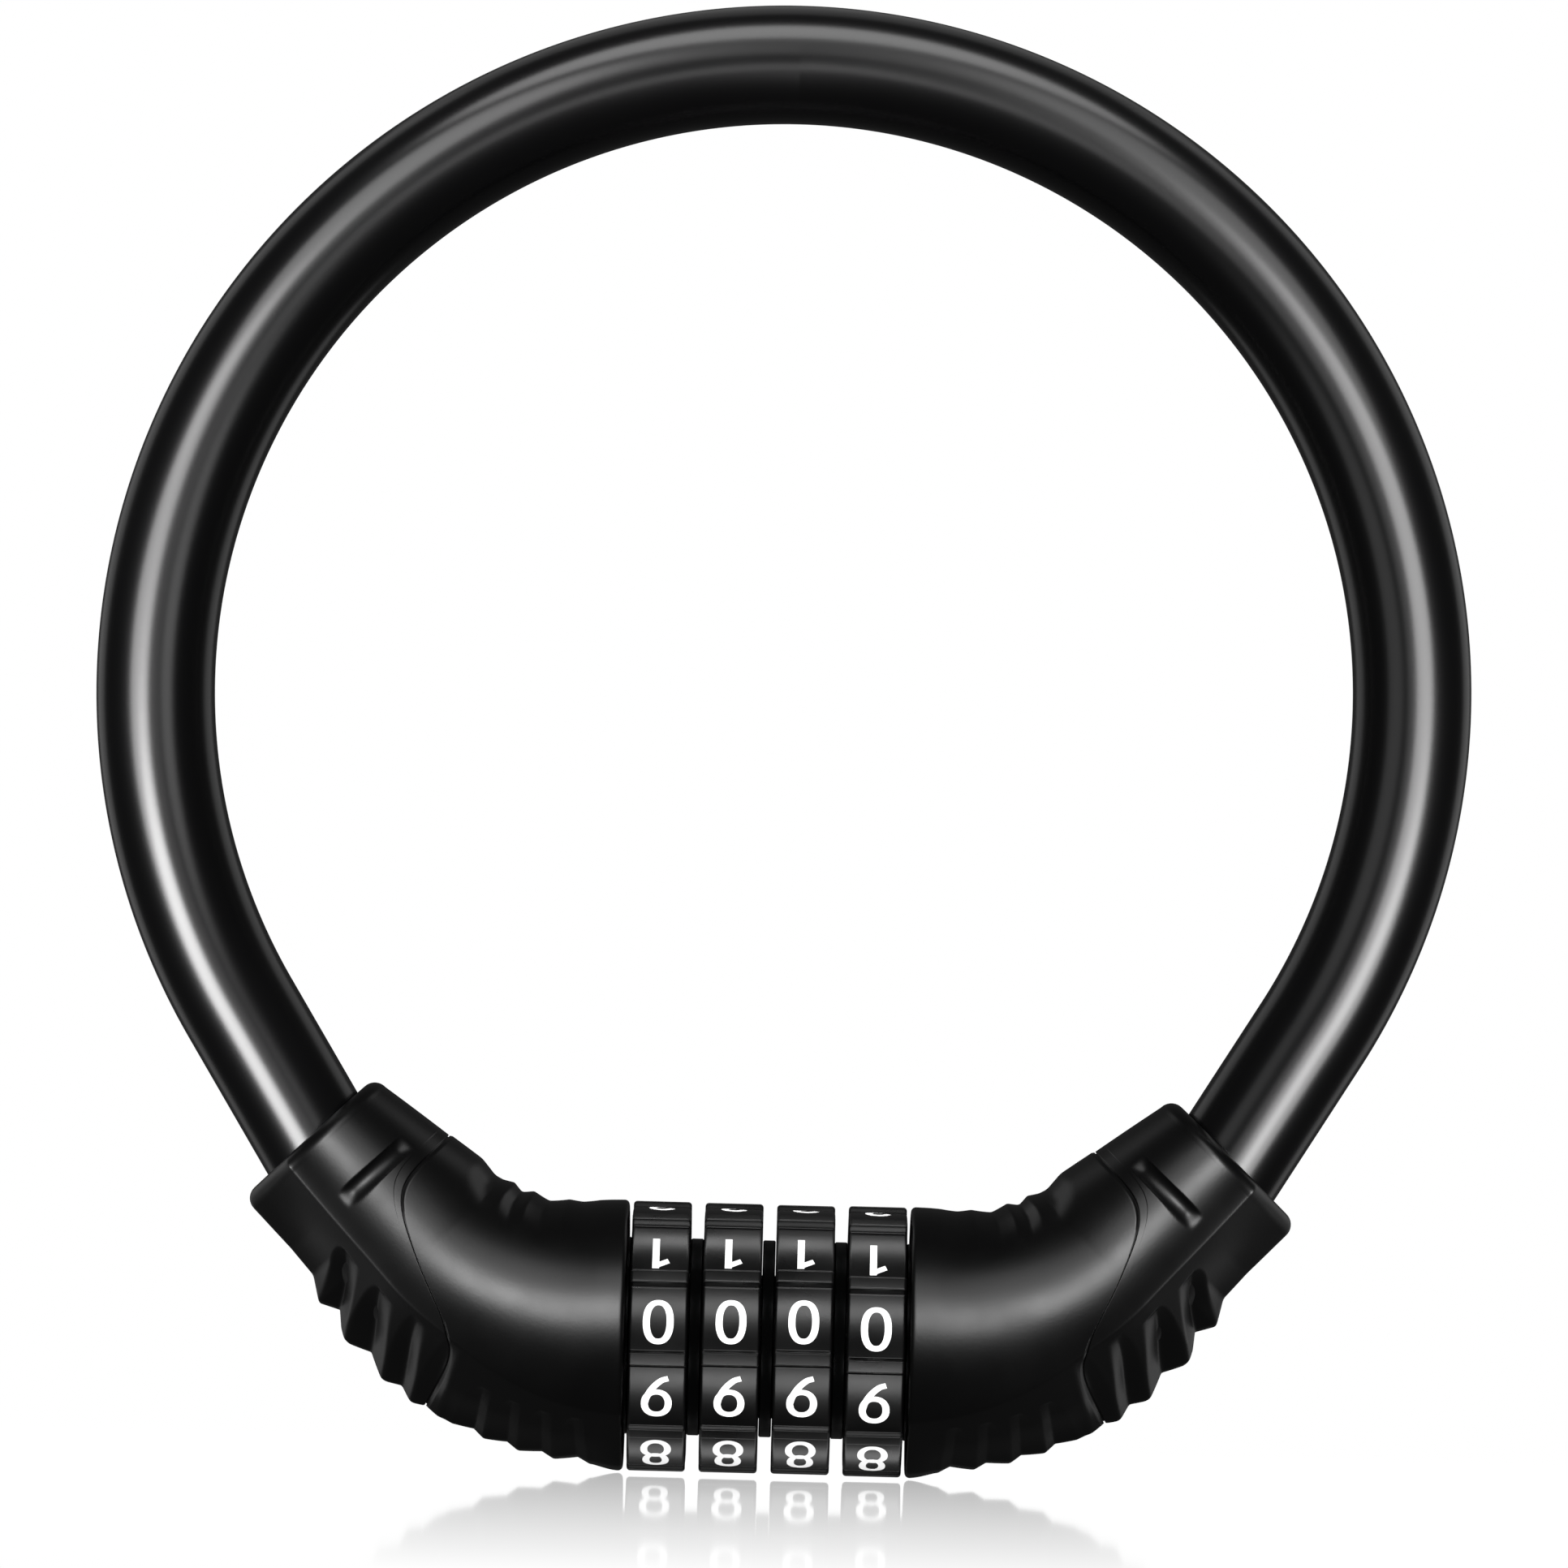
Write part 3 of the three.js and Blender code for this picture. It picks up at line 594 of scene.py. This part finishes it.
# A collar and a grip on each side.
def makeHousings():
    for side in ("left", "right"):
        makeShell(side, "collar", collarSection)
        makeShell(side, "grip", gripSection)
    print("housings made")


# Number dials. The outline is a drop under the radius at places in degrees, from one facet to the next.
dial = {
    "radius": 13.7,
    "width": 5.9,
    "bore": 9.3,
    "rounding": 0.36,
    "positions": 10,
    "phase": 12.0,            # middle of the zero facet above the front, in degrees
    "turn": [-0.8, 0.0, 0.8, -1.5],
    "place": [0.0, 14.4, 15.1, 20.8, 21.25, 36.0],
    "drop": [0.6, 0.8, 0.0, 0.0, 0.4, 0.6],
    "aroundCount": 1440,
    "easing": 5,              # neighbours over which the outline is averaged
    "edgeSteps": 6,
    "sharp": 50,
}
facetAngle = 360 / dial["positions"]


# Radius of a dial's outline, angles in degrees: from each rib a sharp step down, then a facet that rises.
def dialRadiusAt(angle, turn):
    place = np.mod(angle - dial["phase"] - turn, facetAngle)
    return dial["radius"] - np.interp(place, dial["place"], dial["drop"])


# Dial as a closed grid: the outline times a profile along X with rounded edges, and the bore back.
def makeDial(i):
    angle = np.linspace(0, 360, dial["aroundCount"], endpoint=False)
    radius = dialRadiusAt(angle, dial["turn"][i])
    reach = dial["easing"] // 2
    radius = sum(np.roll(radius, shift) for shift in range(-reach, reach + 1)) / dial["easing"]
    half, size = dial["width"] / 2, dial["rounding"]
    near, drop = quarterRound(dial["edgeSteps"])
    x = np.concatenate([[-half], -half + size * near, half - size * near[::-1], [half]])
    inset = size * np.concatenate([[0], drop, drop[::-1], [0]])
    columns = radius[:, None] - inset[None, :]
    columns[:, [0, -1]] = dial["bore"]
    points = aboutAxis(dialMiddles[i] + x[None, :], columns, np.radians(angle)[:, None])
    piece = makePiece(f"wheel_{i + 1}", points, gridQuads(*columns.shape), finishes["dialPlastic"],
                      (f"dial_{i + 1}",), sharp=dial["sharp"], lit=("dials",))
    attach(piece, f"dial_unit_{i + 1}")


# Numerals: the size of their centrelines, the pen's half widths, and how they lie on their facets.
digit = {
    "halfWidth": 1.19,
    "halfHeight": 1.965,
    "penAcross": 0.35,
    "penUp": 0.27,
    "nudge": {0: -1.8, 1: -4.6, 2: 4.4, 8: -1.4, 9: 0.4},    # degrees up the dial from the middle of the facet
    "stretch": {1: 0.9, 8: 1.24},
    "facetRadius": 13.1,      # turns a height on the facet into an angle
    "raise": 0.02,
    "sink": 0.15,
    "curveSteps": 12,
    "ovalSteps": 72,
    "straightSteps": 24,
}


# Smooth curve through points, each stretch a cubic with the slopes of its neighbours.
def throughPoints(points):
    points = np.array(points, float)
    line = np.concatenate([2 * points[:1] - points[1:2], points, 2 * points[-1:] - points[-2:-1]])
    t = np.linspace(0, 1, digit["curveSteps"], endpoint=False)[:, None]
    parts = []
    for a, b, c, d in zip(line, line[1:], line[2:], line[3:]):
        parts.append(b + (c - a) / 2 * t + (a - 2.5 * b + 2 * c - d / 2) * t ** 2
                     + (1.5 * (b - c) + (d - a) / 2) * t ** 3)
    return np.concatenate(parts + [points[-1:]])


# Oval, a little squarer than an ellipse: the cosine and the sine are raised to a power under one.
def oval(middleX, middleY, halfX, halfY, square=0.92):
    turn = np.linspace(0, fullTurn, digit["ovalSteps"], endpoint=False)
    c, s = np.cos(turn), np.sin(turn)
    return np.stack([middleX + halfX * np.sign(c) * np.abs(c) ** square,
                     middleY + halfY * np.sign(s) * np.abs(s) ** square], -1)


# Points evenly along a straight line.
def straight(start, end):
    return np.linspace(start, end, digit["straightSteps"])


# Centrelines of each numeral, in half widths and half heights: the open lines, and then the closed ones.
def numeralLines(number):
    sixHook = throughPoints([(0.95, 1.0), (0.36, 0.87), (-0.3, 0.5), (-0.82, -0.02), (-1.0, -0.4)])
    sixBowl = oval(0, -0.37, 1.0, 0.63)
    lines = {
        0: ([], [oval(0, 0, 1, 1, 0.86)]),
        1: ([straight((0.36, -1.14), (0.36, 1.14)), straight((-0.72, 0.62), (0.36, 0.97))], []),
        2: ([throughPoints([(-0.9, 0.66), (-0.4, 0.96), (0.15, 0.99), (0.68, 0.78), (0.8, 0.4), (0.5, -0.08),
                            (-0.1, -0.55), (-0.8, -1.0)]),
             straight((-0.95, -1), (1.05, -1))], []),
        3: ([throughPoints([(-0.8, 0.85), (-0.2, 1.0), (0.4, 0.92), (0.72, 0.56), (0.45, 0.18), (-0.15, 0.05)]),
             throughPoints([(-0.15, 0.05), (0.5, -0.04), (0.88, -0.45), (0.55, -0.87), (-0.1, -1.0),
                            (-0.9, -0.84)])], []),
        4: ([straight((0.42, 1.0), (-1.0, -0.42)), straight((-1.1, -0.46), (1.15, -0.46)),
             straight((0.45, 1.1), (0.45, -1.14))], []),
        5: ([straight((0.85, 1.0), (-0.72, 1.0)), straight((-0.6, 1.12), (-0.7, 0.06)),
             throughPoints([(-0.74, 0.12), (-0.1, 0.24), (0.6, 0.05), (0.9, -0.4), (0.55, -0.86), (-0.15, -1.0),
                            (-0.9, -0.86)])], []),
        6: ([sixHook], [sixBowl]),
        7: ([straight((-1.1, 1.0), (1.2, 1.0)), throughPoints([(0.98, 0.95), (0.3, 0.0), (-0.3, -1.12)])], []),
        8: ([], [oval(0, 0.49, 0.82, 0.51), oval(0, -0.47, 1.0, 0.53)]),
        9: ([-sixHook], [-sixBowl]),
    }
    return lines[number]


# Edges of a band along a centreline, as wide as an oval pen: its half width is the pen's reach along the
# line's normal.
def penBand(points, closed, stretch):
    points = points * (digit["halfWidth"], digit["halfHeight"] * stretch)
    if closed:
        slope = np.roll(points, -1, 0) - np.roll(points, 1, 0)
    else:
        slope = np.gradient(points, axis=0)
    slope /= np.linalg.norm(slope, axis=1)[:, None]
    normal = np.stack([-slope[:, 1], slope[:, 0]], -1)
    reach = np.hypot(normal[:, 0] * digit["penAcross"], normal[:, 1] * digit["penUp"])[:, None]
    return points - normal * reach, points + normal * reach


# Solid band of one line of a numeral, laid on its facet: four points across, from just inside the dial to
# just above it. Numerals stand upside down, so both their directions are turned.
def bandSolid(i, number, line, closed):
    middle = dial["phase"] + dial["turn"][i] + facetAngle * number + digit["nudge"].get(number, 0)
    one, other = penBand(line, closed, digit["stretch"].get(number, 1))
    flat = -np.stack([one, one, other, other], 1)
    angle = middle + np.degrees(flat[..., 1] / digit["facetRadius"])
    lift = np.array([-digit["sink"], digit["raise"], digit["raise"], -digit["sink"]])
    radius = dialRadiusAt(angle, dial["turn"][i]) + lift
    points = aboutAxis(dialMiddles[i] + flat[..., 0], radius, np.radians(angle)).reshape(-1, 3)
    faces = gridQuads(len(line), 4, joinRows=closed)
    if enclosed(points, faces) < 0:
        faces = faces[:, ::-1]
    if not closed:
        caps = (np.arange(4), np.arange(4) + 4 * (len(line) - 1))
        faces = np.concatenate([faces, [facingAway(points, cap, points.mean(0)) for cap in caps]])
    return points, faces


# All the numerals of one dial as one piece.
def makeNumerals(i):
    points, faces, start = [], [], 0
    for number in range(dial["positions"]):
        openLines, closedLines = numeralLines(number)
        for line, closed in [(line, False) for line in openLines] + [(line, True) for line in closedLines]:
            bandPoints, bandFaces = bandSolid(i, number, line, closed)
            points.append(bandPoints)
            faces.append(bandFaces + start)
            start += len(bandPoints)
    piece = makePiece(f"numerals_{i + 1}", np.concatenate(points), np.concatenate(faces), finishes["whiteInk"],
                      lit=("ink",))
    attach(piece, f"dial_unit_{i + 1}")


# Four dials, each with its numerals.
def makeDials():
    for i in range(dialCount):
        makeDial(i)
        makeNumerals(i)
    print("dials made")


# Works that show in the gaps between the dials and when the lock is open.
works = {
    "ringSides": 192,
    "slottedSides": 120,
    "spacerRadius": 9.95,
    "spacerBore": 6.7,
    "discProud": 0.25,        # past the plain spacer, each side
    "notchRadius": 8.3,
    "slotHalf": 1.45,
    "barrelRadius": 6.4,
    "barrelBore": 2.6,
    "clipRadius": 8.4,
    "clipBore": 5.9,
    "carrierRadius": 9.4,
    "carrierPlay": 0.3,       # round the rod
    "carrierChamfer": 0.3,
    "chamfer": 0.12,
    "rodRadius": 2.2,
    "rodSides": 64,
    "lugTop": 1.0,            # under the rod's axis, inside the rod
    "lugReach": 8.0,
    "lugWidth": 2.2,
    "edge": 0.15,
    "edgeSegments": 2,
}


# The lowest and highest corner of a CAD node.
def cornersOf(nodeName):
    return (np.array(corner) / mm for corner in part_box(nodeName))


# Profile of a ring along X and radius: square bore, chamfered outer edges.
def ringProfile(low, high, bore, radius, chamfer):
    return np.array([(low, bore), (low, radius - chamfer), (low + chamfer, radius),
                     (high - chamfer, radius), (high, radius - chamfer), (high, bore)])


# Ring about the dials' axis from a closed profile. A notched one has a slot with parallel walls at the bottom
# of its bore: there the bore's radius is half the slot's width over the sine of the angle from the bottom.
def makeRing(name, profile, body, lookName, standsFor, notched=False):
    angle = np.linspace(0, fullTurn, works["ringSides"], endpoint=False)[:, None]
    radius = profile[None, :, 1] + 0 * angle
    if notched:
        off = np.abs(np.angle(np.exp(1j * (angle + math.pi / 2))))
        wall = works["slotHalf"] / np.sin(np.clip(off, 0.01, math.pi / 2))
        bore = np.clip(wall, works["spacerBore"], works["notchRadius"])
        radius = np.where(profile[None, :, 1] <= works["spacerBore"], bore, radius)
    points = aboutAxis(profile[None, :, 0], radius, angle)
    piece = makePiece(name, points, gridQuads(*radius.shape), finishes[lookName], (standsFor,),
                      lit=() if notched else ("works",))
    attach(piece, body)


# Ring with a slot at the bottom whose walls are parallel: each radius starts at its own angle, the arcsine of
# half the slot's width over the radius.
def makeSlottedRing(name, profile, body, lookName, standsFor):
    start = np.arcsin(works["slotHalf"] / profile[:, 1])[None, :]
    share = np.linspace(0, 1, works["slottedSides"])[:, None]
    angle = -math.pi / 2 + start + share * (fullTurn - 2 * start)
    points = aboutAxis(profile[None, :, 0], profile[None, :, 1], angle)
    rows, columns = angle.shape
    ends = [np.arange(columns)[::-1], np.arange(columns) + columns * (rows - 1)]
    piece = makePiece(name, points, gridQuads(rows, columns, joinRows=False), finishes[lookName],
                      (standsFor,), ends)
    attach(piece, body)


# Box between two corners: eight points and six quads.
def boxSolid(low, high):
    points = np.array([[x, y, z] for x in (low[0], high[0]) for y in (low[1], high[1]) for z in (low[2], high[2])])
    quads = np.array([[0, 1, 3, 2], [4, 6, 7, 5], [0, 4, 5, 1], [2, 3, 7, 6], [0, 2, 6, 4], [1, 5, 7, 3]])
    return points, quads


# Bolt: a rod along the dials' axis, with a square lug under it before each dial.
def makeBolt():
    low, high = cornersOf("locking_bolt")
    count = works["rodSides"]
    angle = np.linspace(0, fullTurn, count, endpoint=False)[None, :]
    x = np.array([low[0], high[0]])[:, None]
    rod = aboutAxis(x, works["rodRadius"], angle).reshape(-1, 3)
    rodQuads = gridQuads(2, count, joinRows=False)
    if enclosed(rod, rodQuads) < 0:
        rodQuads = rodQuads[:, ::-1]
    ends = [facingAway(rod, np.arange(count) + first, rod.mean(0)) for first in (0, count)]
    points, quads, start = [rod], [rodQuads], len(rod)
    half = works["lugWidth"] / 2
    for middle in dialMiddles:
        at = middle - dialPitch / 2
        box, faces = boxSolid((at - half, -half, lockZ - works["lugReach"]),
                              (at + half, half, lockZ - works["lugTop"]))
        points.append(box)
        quads.append(faces + start)
        start += len(box)
    piece = makePiece("bolt", np.concatenate(points), np.concatenate(quads), finishes["steel"],
                      ("locking_bolt",), ends)
    edge = piece.modifiers.new("edges", "BEVEL")
    edge.width, edge.segments, edge.limit_method = works["edge"] * mm, works["edgeSegments"], "ANGLE"
    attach(piece, "plug")


# Spacers, barrel, clip, bolt carrier and bolt, each as long as its CAD node.
def makeWorks():
    chamfer = works["chamfer"]
    for i in range(dialCount + 1):
        low, high = cornersOf(f"spacer_{i + 1}")
        profile = ringProfile(low[0] - works["discProud"], high[0] + works["discProud"], works["spacerBore"],
                              works["spacerRadius"], chamfer)
        makeRing(f"disc_{i + 1}", profile, "lock_body", "darkSteel", f"spacer_{i + 1}", notched=True)
    low, high = cornersOf("lock_barrel")
    profile = ringProfile(low[0], high[0], works["barrelBore"], works["barrelRadius"], chamfer)
    makeSlottedRing("barrel", profile, "lock_body", "zinc", "lock_barrel")
    low, high = cornersOf("retaining_clip")
    profile = ringProfile(low[0], high[0], works["clipBore"], works["clipRadius"], chamfer)
    makeSlottedRing("clip", profile, "lock_body", "darkSteel", "retaining_clip")
    low, high = cornersOf("bolt_carrier")
    profile = ringProfile(low[0], high[0], works["rodRadius"] + works["carrierPlay"], works["carrierRadius"],
                          works["carrierChamfer"])
    makeRing("carrier", profile, "plug", "zinc", "bolt_carrier")
    makeBolt()
    print("works made")


# Finish of a CAD node, by the first of these words that is in its name.
nodeFinishes = {
    "code_ring": "brass",
    "barrel_base": "zinc",
    "cable_core": "steel",
    "ferrule": "steel",
    "pin": "steel",
    "detent": "steel",
}


# The CAD nodes that no piece replaces keep their shape and take the finish of their kind.
def finishNodes():
    for name, node in frame["nodes"].items():
        kind = next((nodeFinishes[part] for part in nodeFinishes if part in name), None)
        if kind and not node.hide_render:
            node.data.materials.clear()
            node.data.materials.append(finishes[kind])
            litPieces["works"].append(node)


studio = {"white": 1.0, "dim": 0.05}  # brightness seen by the camera and by the lock


# White to the camera; a dim grey to everything that the lock reflects.
def makeWorld():
    world = bpy.data.worlds.new("studio")
    bpy.context.scene.world = world
    world.use_nodes = True
    tree = world.node_tree
    tree.nodes.clear()
    end = tree.nodes.new("ShaderNodeOutputWorld")
    mix = tree.nodes.new("ShaderNodeMixShader")
    path = tree.nodes.new("ShaderNodeLightPath")
    dim = nodeIn(tree, "ShaderNodeBackground", Color=(1, 1, 1, 1), Strength=studio["dim"])
    white = nodeIn(tree, "ShaderNodeBackground", Color=(1, 1, 1, 1), Strength=studio["white"])
    tree.links.new(path.outputs["Is Camera Ray"], mix.inputs["Fac"])
    tree.links.new(dim.outputs[0], mix.inputs[1])
    tree.links.new(white.outputs[0], mix.inputs[2])
    tree.links.new(mix.outputs[0], end.inputs["Surface"])


# The floor's mirror grows from mirrorFrom, in front of the lock, to the lock, and is gone at mirrorTo behind it.
ground = {
    "reach": 3000.0,
    "underAxis": 13.85,
    "mirror": 0.55,
    "roughness": 0.06,
    "mirrorFrom": -130.0,
    "mirrorTo": 50.0,
}


# Pale floor: white, mixed with a mirror by the product of two ramps along Y.
def makeFloor():
    reach, z = ground["reach"], lockZ - ground["underAxis"]
    mesh = bpy.data.meshes.new("floor")
    corners = np.array([(-reach, -reach, z), (reach, -reach, z), (reach, reach, z), (-reach, reach, z)])
    mesh.from_pydata((corners * mm).tolist(), [], [(0, 1, 2, 3)])
    floor = bpy.data.objects.new("floor", mesh)
    bpy.context.scene.collection.objects.link(floor)
    material = bpy.data.materials.new("paleFloor")
    material.use_nodes = True
    tree = material.node_tree
    tree.nodes.clear()
    end = tree.nodes.new("ShaderNodeOutputMaterial")
    glow = nodeIn(tree, "ShaderNodeEmission", Color=(1, 1, 1, 1), Strength=1.0)
    shine = nodeIn(tree, "ShaderNodeBsdfGlossy", Color=(1, 1, 1, 1), Roughness=ground["roughness"])
    mix = tree.nodes.new("ShaderNodeMixShader")
    place = tree.nodes.new("ShaderNodeTexCoord")
    parts = tree.nodes.new("ShaderNodeSeparateXYZ")
    both = nodeIn(tree, "ShaderNodeMath", operation="MULTIPLY")
    tree.links.new(place.outputs["Object"], parts.inputs["Vector"])
    ramps = [(ground["mirrorFrom"], 0.0, 0.0, ground["mirror"]), (0.0, ground["mirrorTo"], 1.0, 0.0)]
    for socket, (fromY, toY, low, high) in zip(both.inputs, ramps):
        ramp = nodeIn(tree, "ShaderNodeMapRange", **{"From Min": fromY * mm, "From Max": toY * mm, "To Min": low,
                                                     "To Max": high})
        tree.links.new(parts.outputs["Y"], ramp.inputs["Value"])
        tree.links.new(ramp.outputs["Result"], socket)
    tree.links.new(both.outputs[0], mix.inputs["Fac"])
    tree.links.new(glow.outputs[0], mix.inputs[1])
    tree.links.new(shine.outputs[0], mix.inputs[2])
    tree.links.new(mix.outputs[0], end.inputs["Surface"])
    mesh.materials.append(material)
    floor.visible_diffuse = False
    floor.visible_glossy = False
    floor.visible_shadow = False
    litPieces["floor"].append(floor)


view = {"lens": 227.0, "sensor": 36, "distance": 1001.0, "aimX": 0.25, "aimZ": -66.8, "roll": -1.5}

# Soft lights, each for one group of pieces, or for all: the group, azimuth and elevation in degrees, width and
# height in degrees as the lock sees them, and brightness.
lights = {
    "cableLowLeft": ("cableLeft", -26, -14, 26, 26, 17.0),
    "cableMidLeft": ("cableLeft", -32, 0, 34, 40, 9.0),
    "cableInnerLeft": ("cableLeft", 21, 0, 24, 16, 3.0),
    "cableUpLeft": ("cableLeft", -28, 28, 32, 32, 4.6),
    "cableLowRight": ("cableRight", 32, -17, 28, 28, 9.0),
    "cableMidRight": ("cableRight", 25, 0, 32, 40, 9.5),
    "cableInnerRight": ("cableRight", -32, 2, 30, 40, 0.9),
    "cableUpRight": ("cableRight", 30, 29, 34, 34, 2.8),
    "cableFront": ("cable", 0, -3, 16, 14, 1.4),
    "cableTop": ("cable", 0, 66, 60, 26, 5.0),
    "cableTopFront": ("cable", 0, 38, 30, 34, 1.0),
    "rimTop": ("cable", 180, 50, 60, 40, 0.3),
    "houseLeft": ("houseLeft", -9, 20, 16, 22, 17.5),
    "houseLeftUp": ("houseLeft", 0, 40, 30, 40, 2.2),
    "edgeLeft": ("houseLeft", -74, -15, 14, 14, 24.0),
    "houseRight": ("houseRight", 9, 20, 16, 22, 15.5),
    "houseRightUp": ("houseRight", 0, 40, 30, 40, 2.2),
    "edgeRight": ("houseRight", 74, -15, 14, 14, 24.0),
    "dialOne": ("dials", 0, 104, 70, 16, 4.0),
    "dialZero": ("dials", 0, 34, 70, 16, 5.5),
    "dialNine": ("dials", 0, -31, 70, 16, 5.0),
    "dialEight": ("dials", 0, -111, 70, 16, 2.4),
    "inkFront": ("ink", 0, 20, 90, 90, 4.0),
    "inkLow": ("ink", 0, -70, 60, 40, 4.0),
    "inkBack": ("ink", 180, 10, 90, 90, 3.0),
    "worksFront": ("works", 0, 35, 60, 40, 1.2),
    "worksBack": ("works", 150, 30, 60, 40, 1.2),
    "rimLeft": ("all", -128, 10, 30, 90, 0.5),
    "rimRight": ("all", 128, 10, 30, 90, 0.5),
}

# White cards all round, which only the floor mirrors.
cards = {
    "cardFront": ("floor", 0, 0, 90, 90, 1.0),
    "cardBack": ("floor", 180, 0, 90, 90, 1.0),
    "cardLeft": ("floor", -90, 0, 90, 90, 1.0),
    "cardRight": ("floor", 90, 0, 90, 90, 1.0),
    "cardTop": ("floor", 0, 90, 90, 90, 1.0),
}
lightDistance = 900.0


# Soft light in a direction from the lock's middle, facing it: round, or square-cornered for a card. Its size
# is twice the distance times the tangent of half its angle, and its power is brightness times pi times its area.
def makeLight(name, azimuth, elevation, wide, tall, brightness):
    distance = lightDistance * mm
    data = bpy.data.lights.new(name, "AREA")
    data.shape = "RECTANGLE" if name in cards else "ELLIPSE"
    data.size, data.size_y = (2 * distance * math.tan(math.radians(size / 2)) for size in (wide, tall))
    fill = 1 if name in cards else math.pi / 4
    data.energy = brightness * math.pi * data.size * data.size_y * fill
    lamp = bpy.data.objects.new(name, data)
    bpy.context.scene.collection.objects.link(lamp)
    a, e = math.radians(azimuth), math.radians(elevation)
    lamp.location = (distance * math.sin(a) * math.cos(e), -distance * math.cos(a) * math.cos(e),
                     view["aimZ"] * mm + distance * math.sin(e))
    lamp.rotation_euler = (math.pi / 2 - e, 0, a)
    lamp.visible_camera = False
    return lamp


# Every light and card, each linked to the pieces of its group.
def makeLights():
    for name, (group, *values) in {**lights, **cards}.items():
        lamp = makeLight(name, *values)
        if group != "all":
            receivers = bpy.data.collections.new(f"{name}Receivers")
            for piece in litPieces[group]:
                receivers.objects.link(piece)
            lamp.light_linking.receiver_collection = receivers
    print("lights made:", len(lights) + len(cards))


# Camera in front of the lock, level and turned a little about its own axis.
def makeCamera():
    data = bpy.data.cameras.new("camera")
    data.lens, data.sensor_width = view["lens"], view["sensor"]
    camera = bpy.data.objects.new("camera", data)
    bpy.context.scene.collection.objects.link(camera)
    camera.location = (view["aimX"] * mm, -view["distance"] * mm, view["aimZ"] * mm)
    camera.rotation_euler = (math.pi / 2, math.radians(view["roll"]), 0)
    bpy.context.scene.camera = camera


makeCable()
makeHousings()
makeDials()
makeWorks()
finishNodes()
makeWorld()
makeFloor()
makeLights()
makeCamera()
bpy.context.scene.view_settings.view_transform = "Standard"
print("surroundings made")
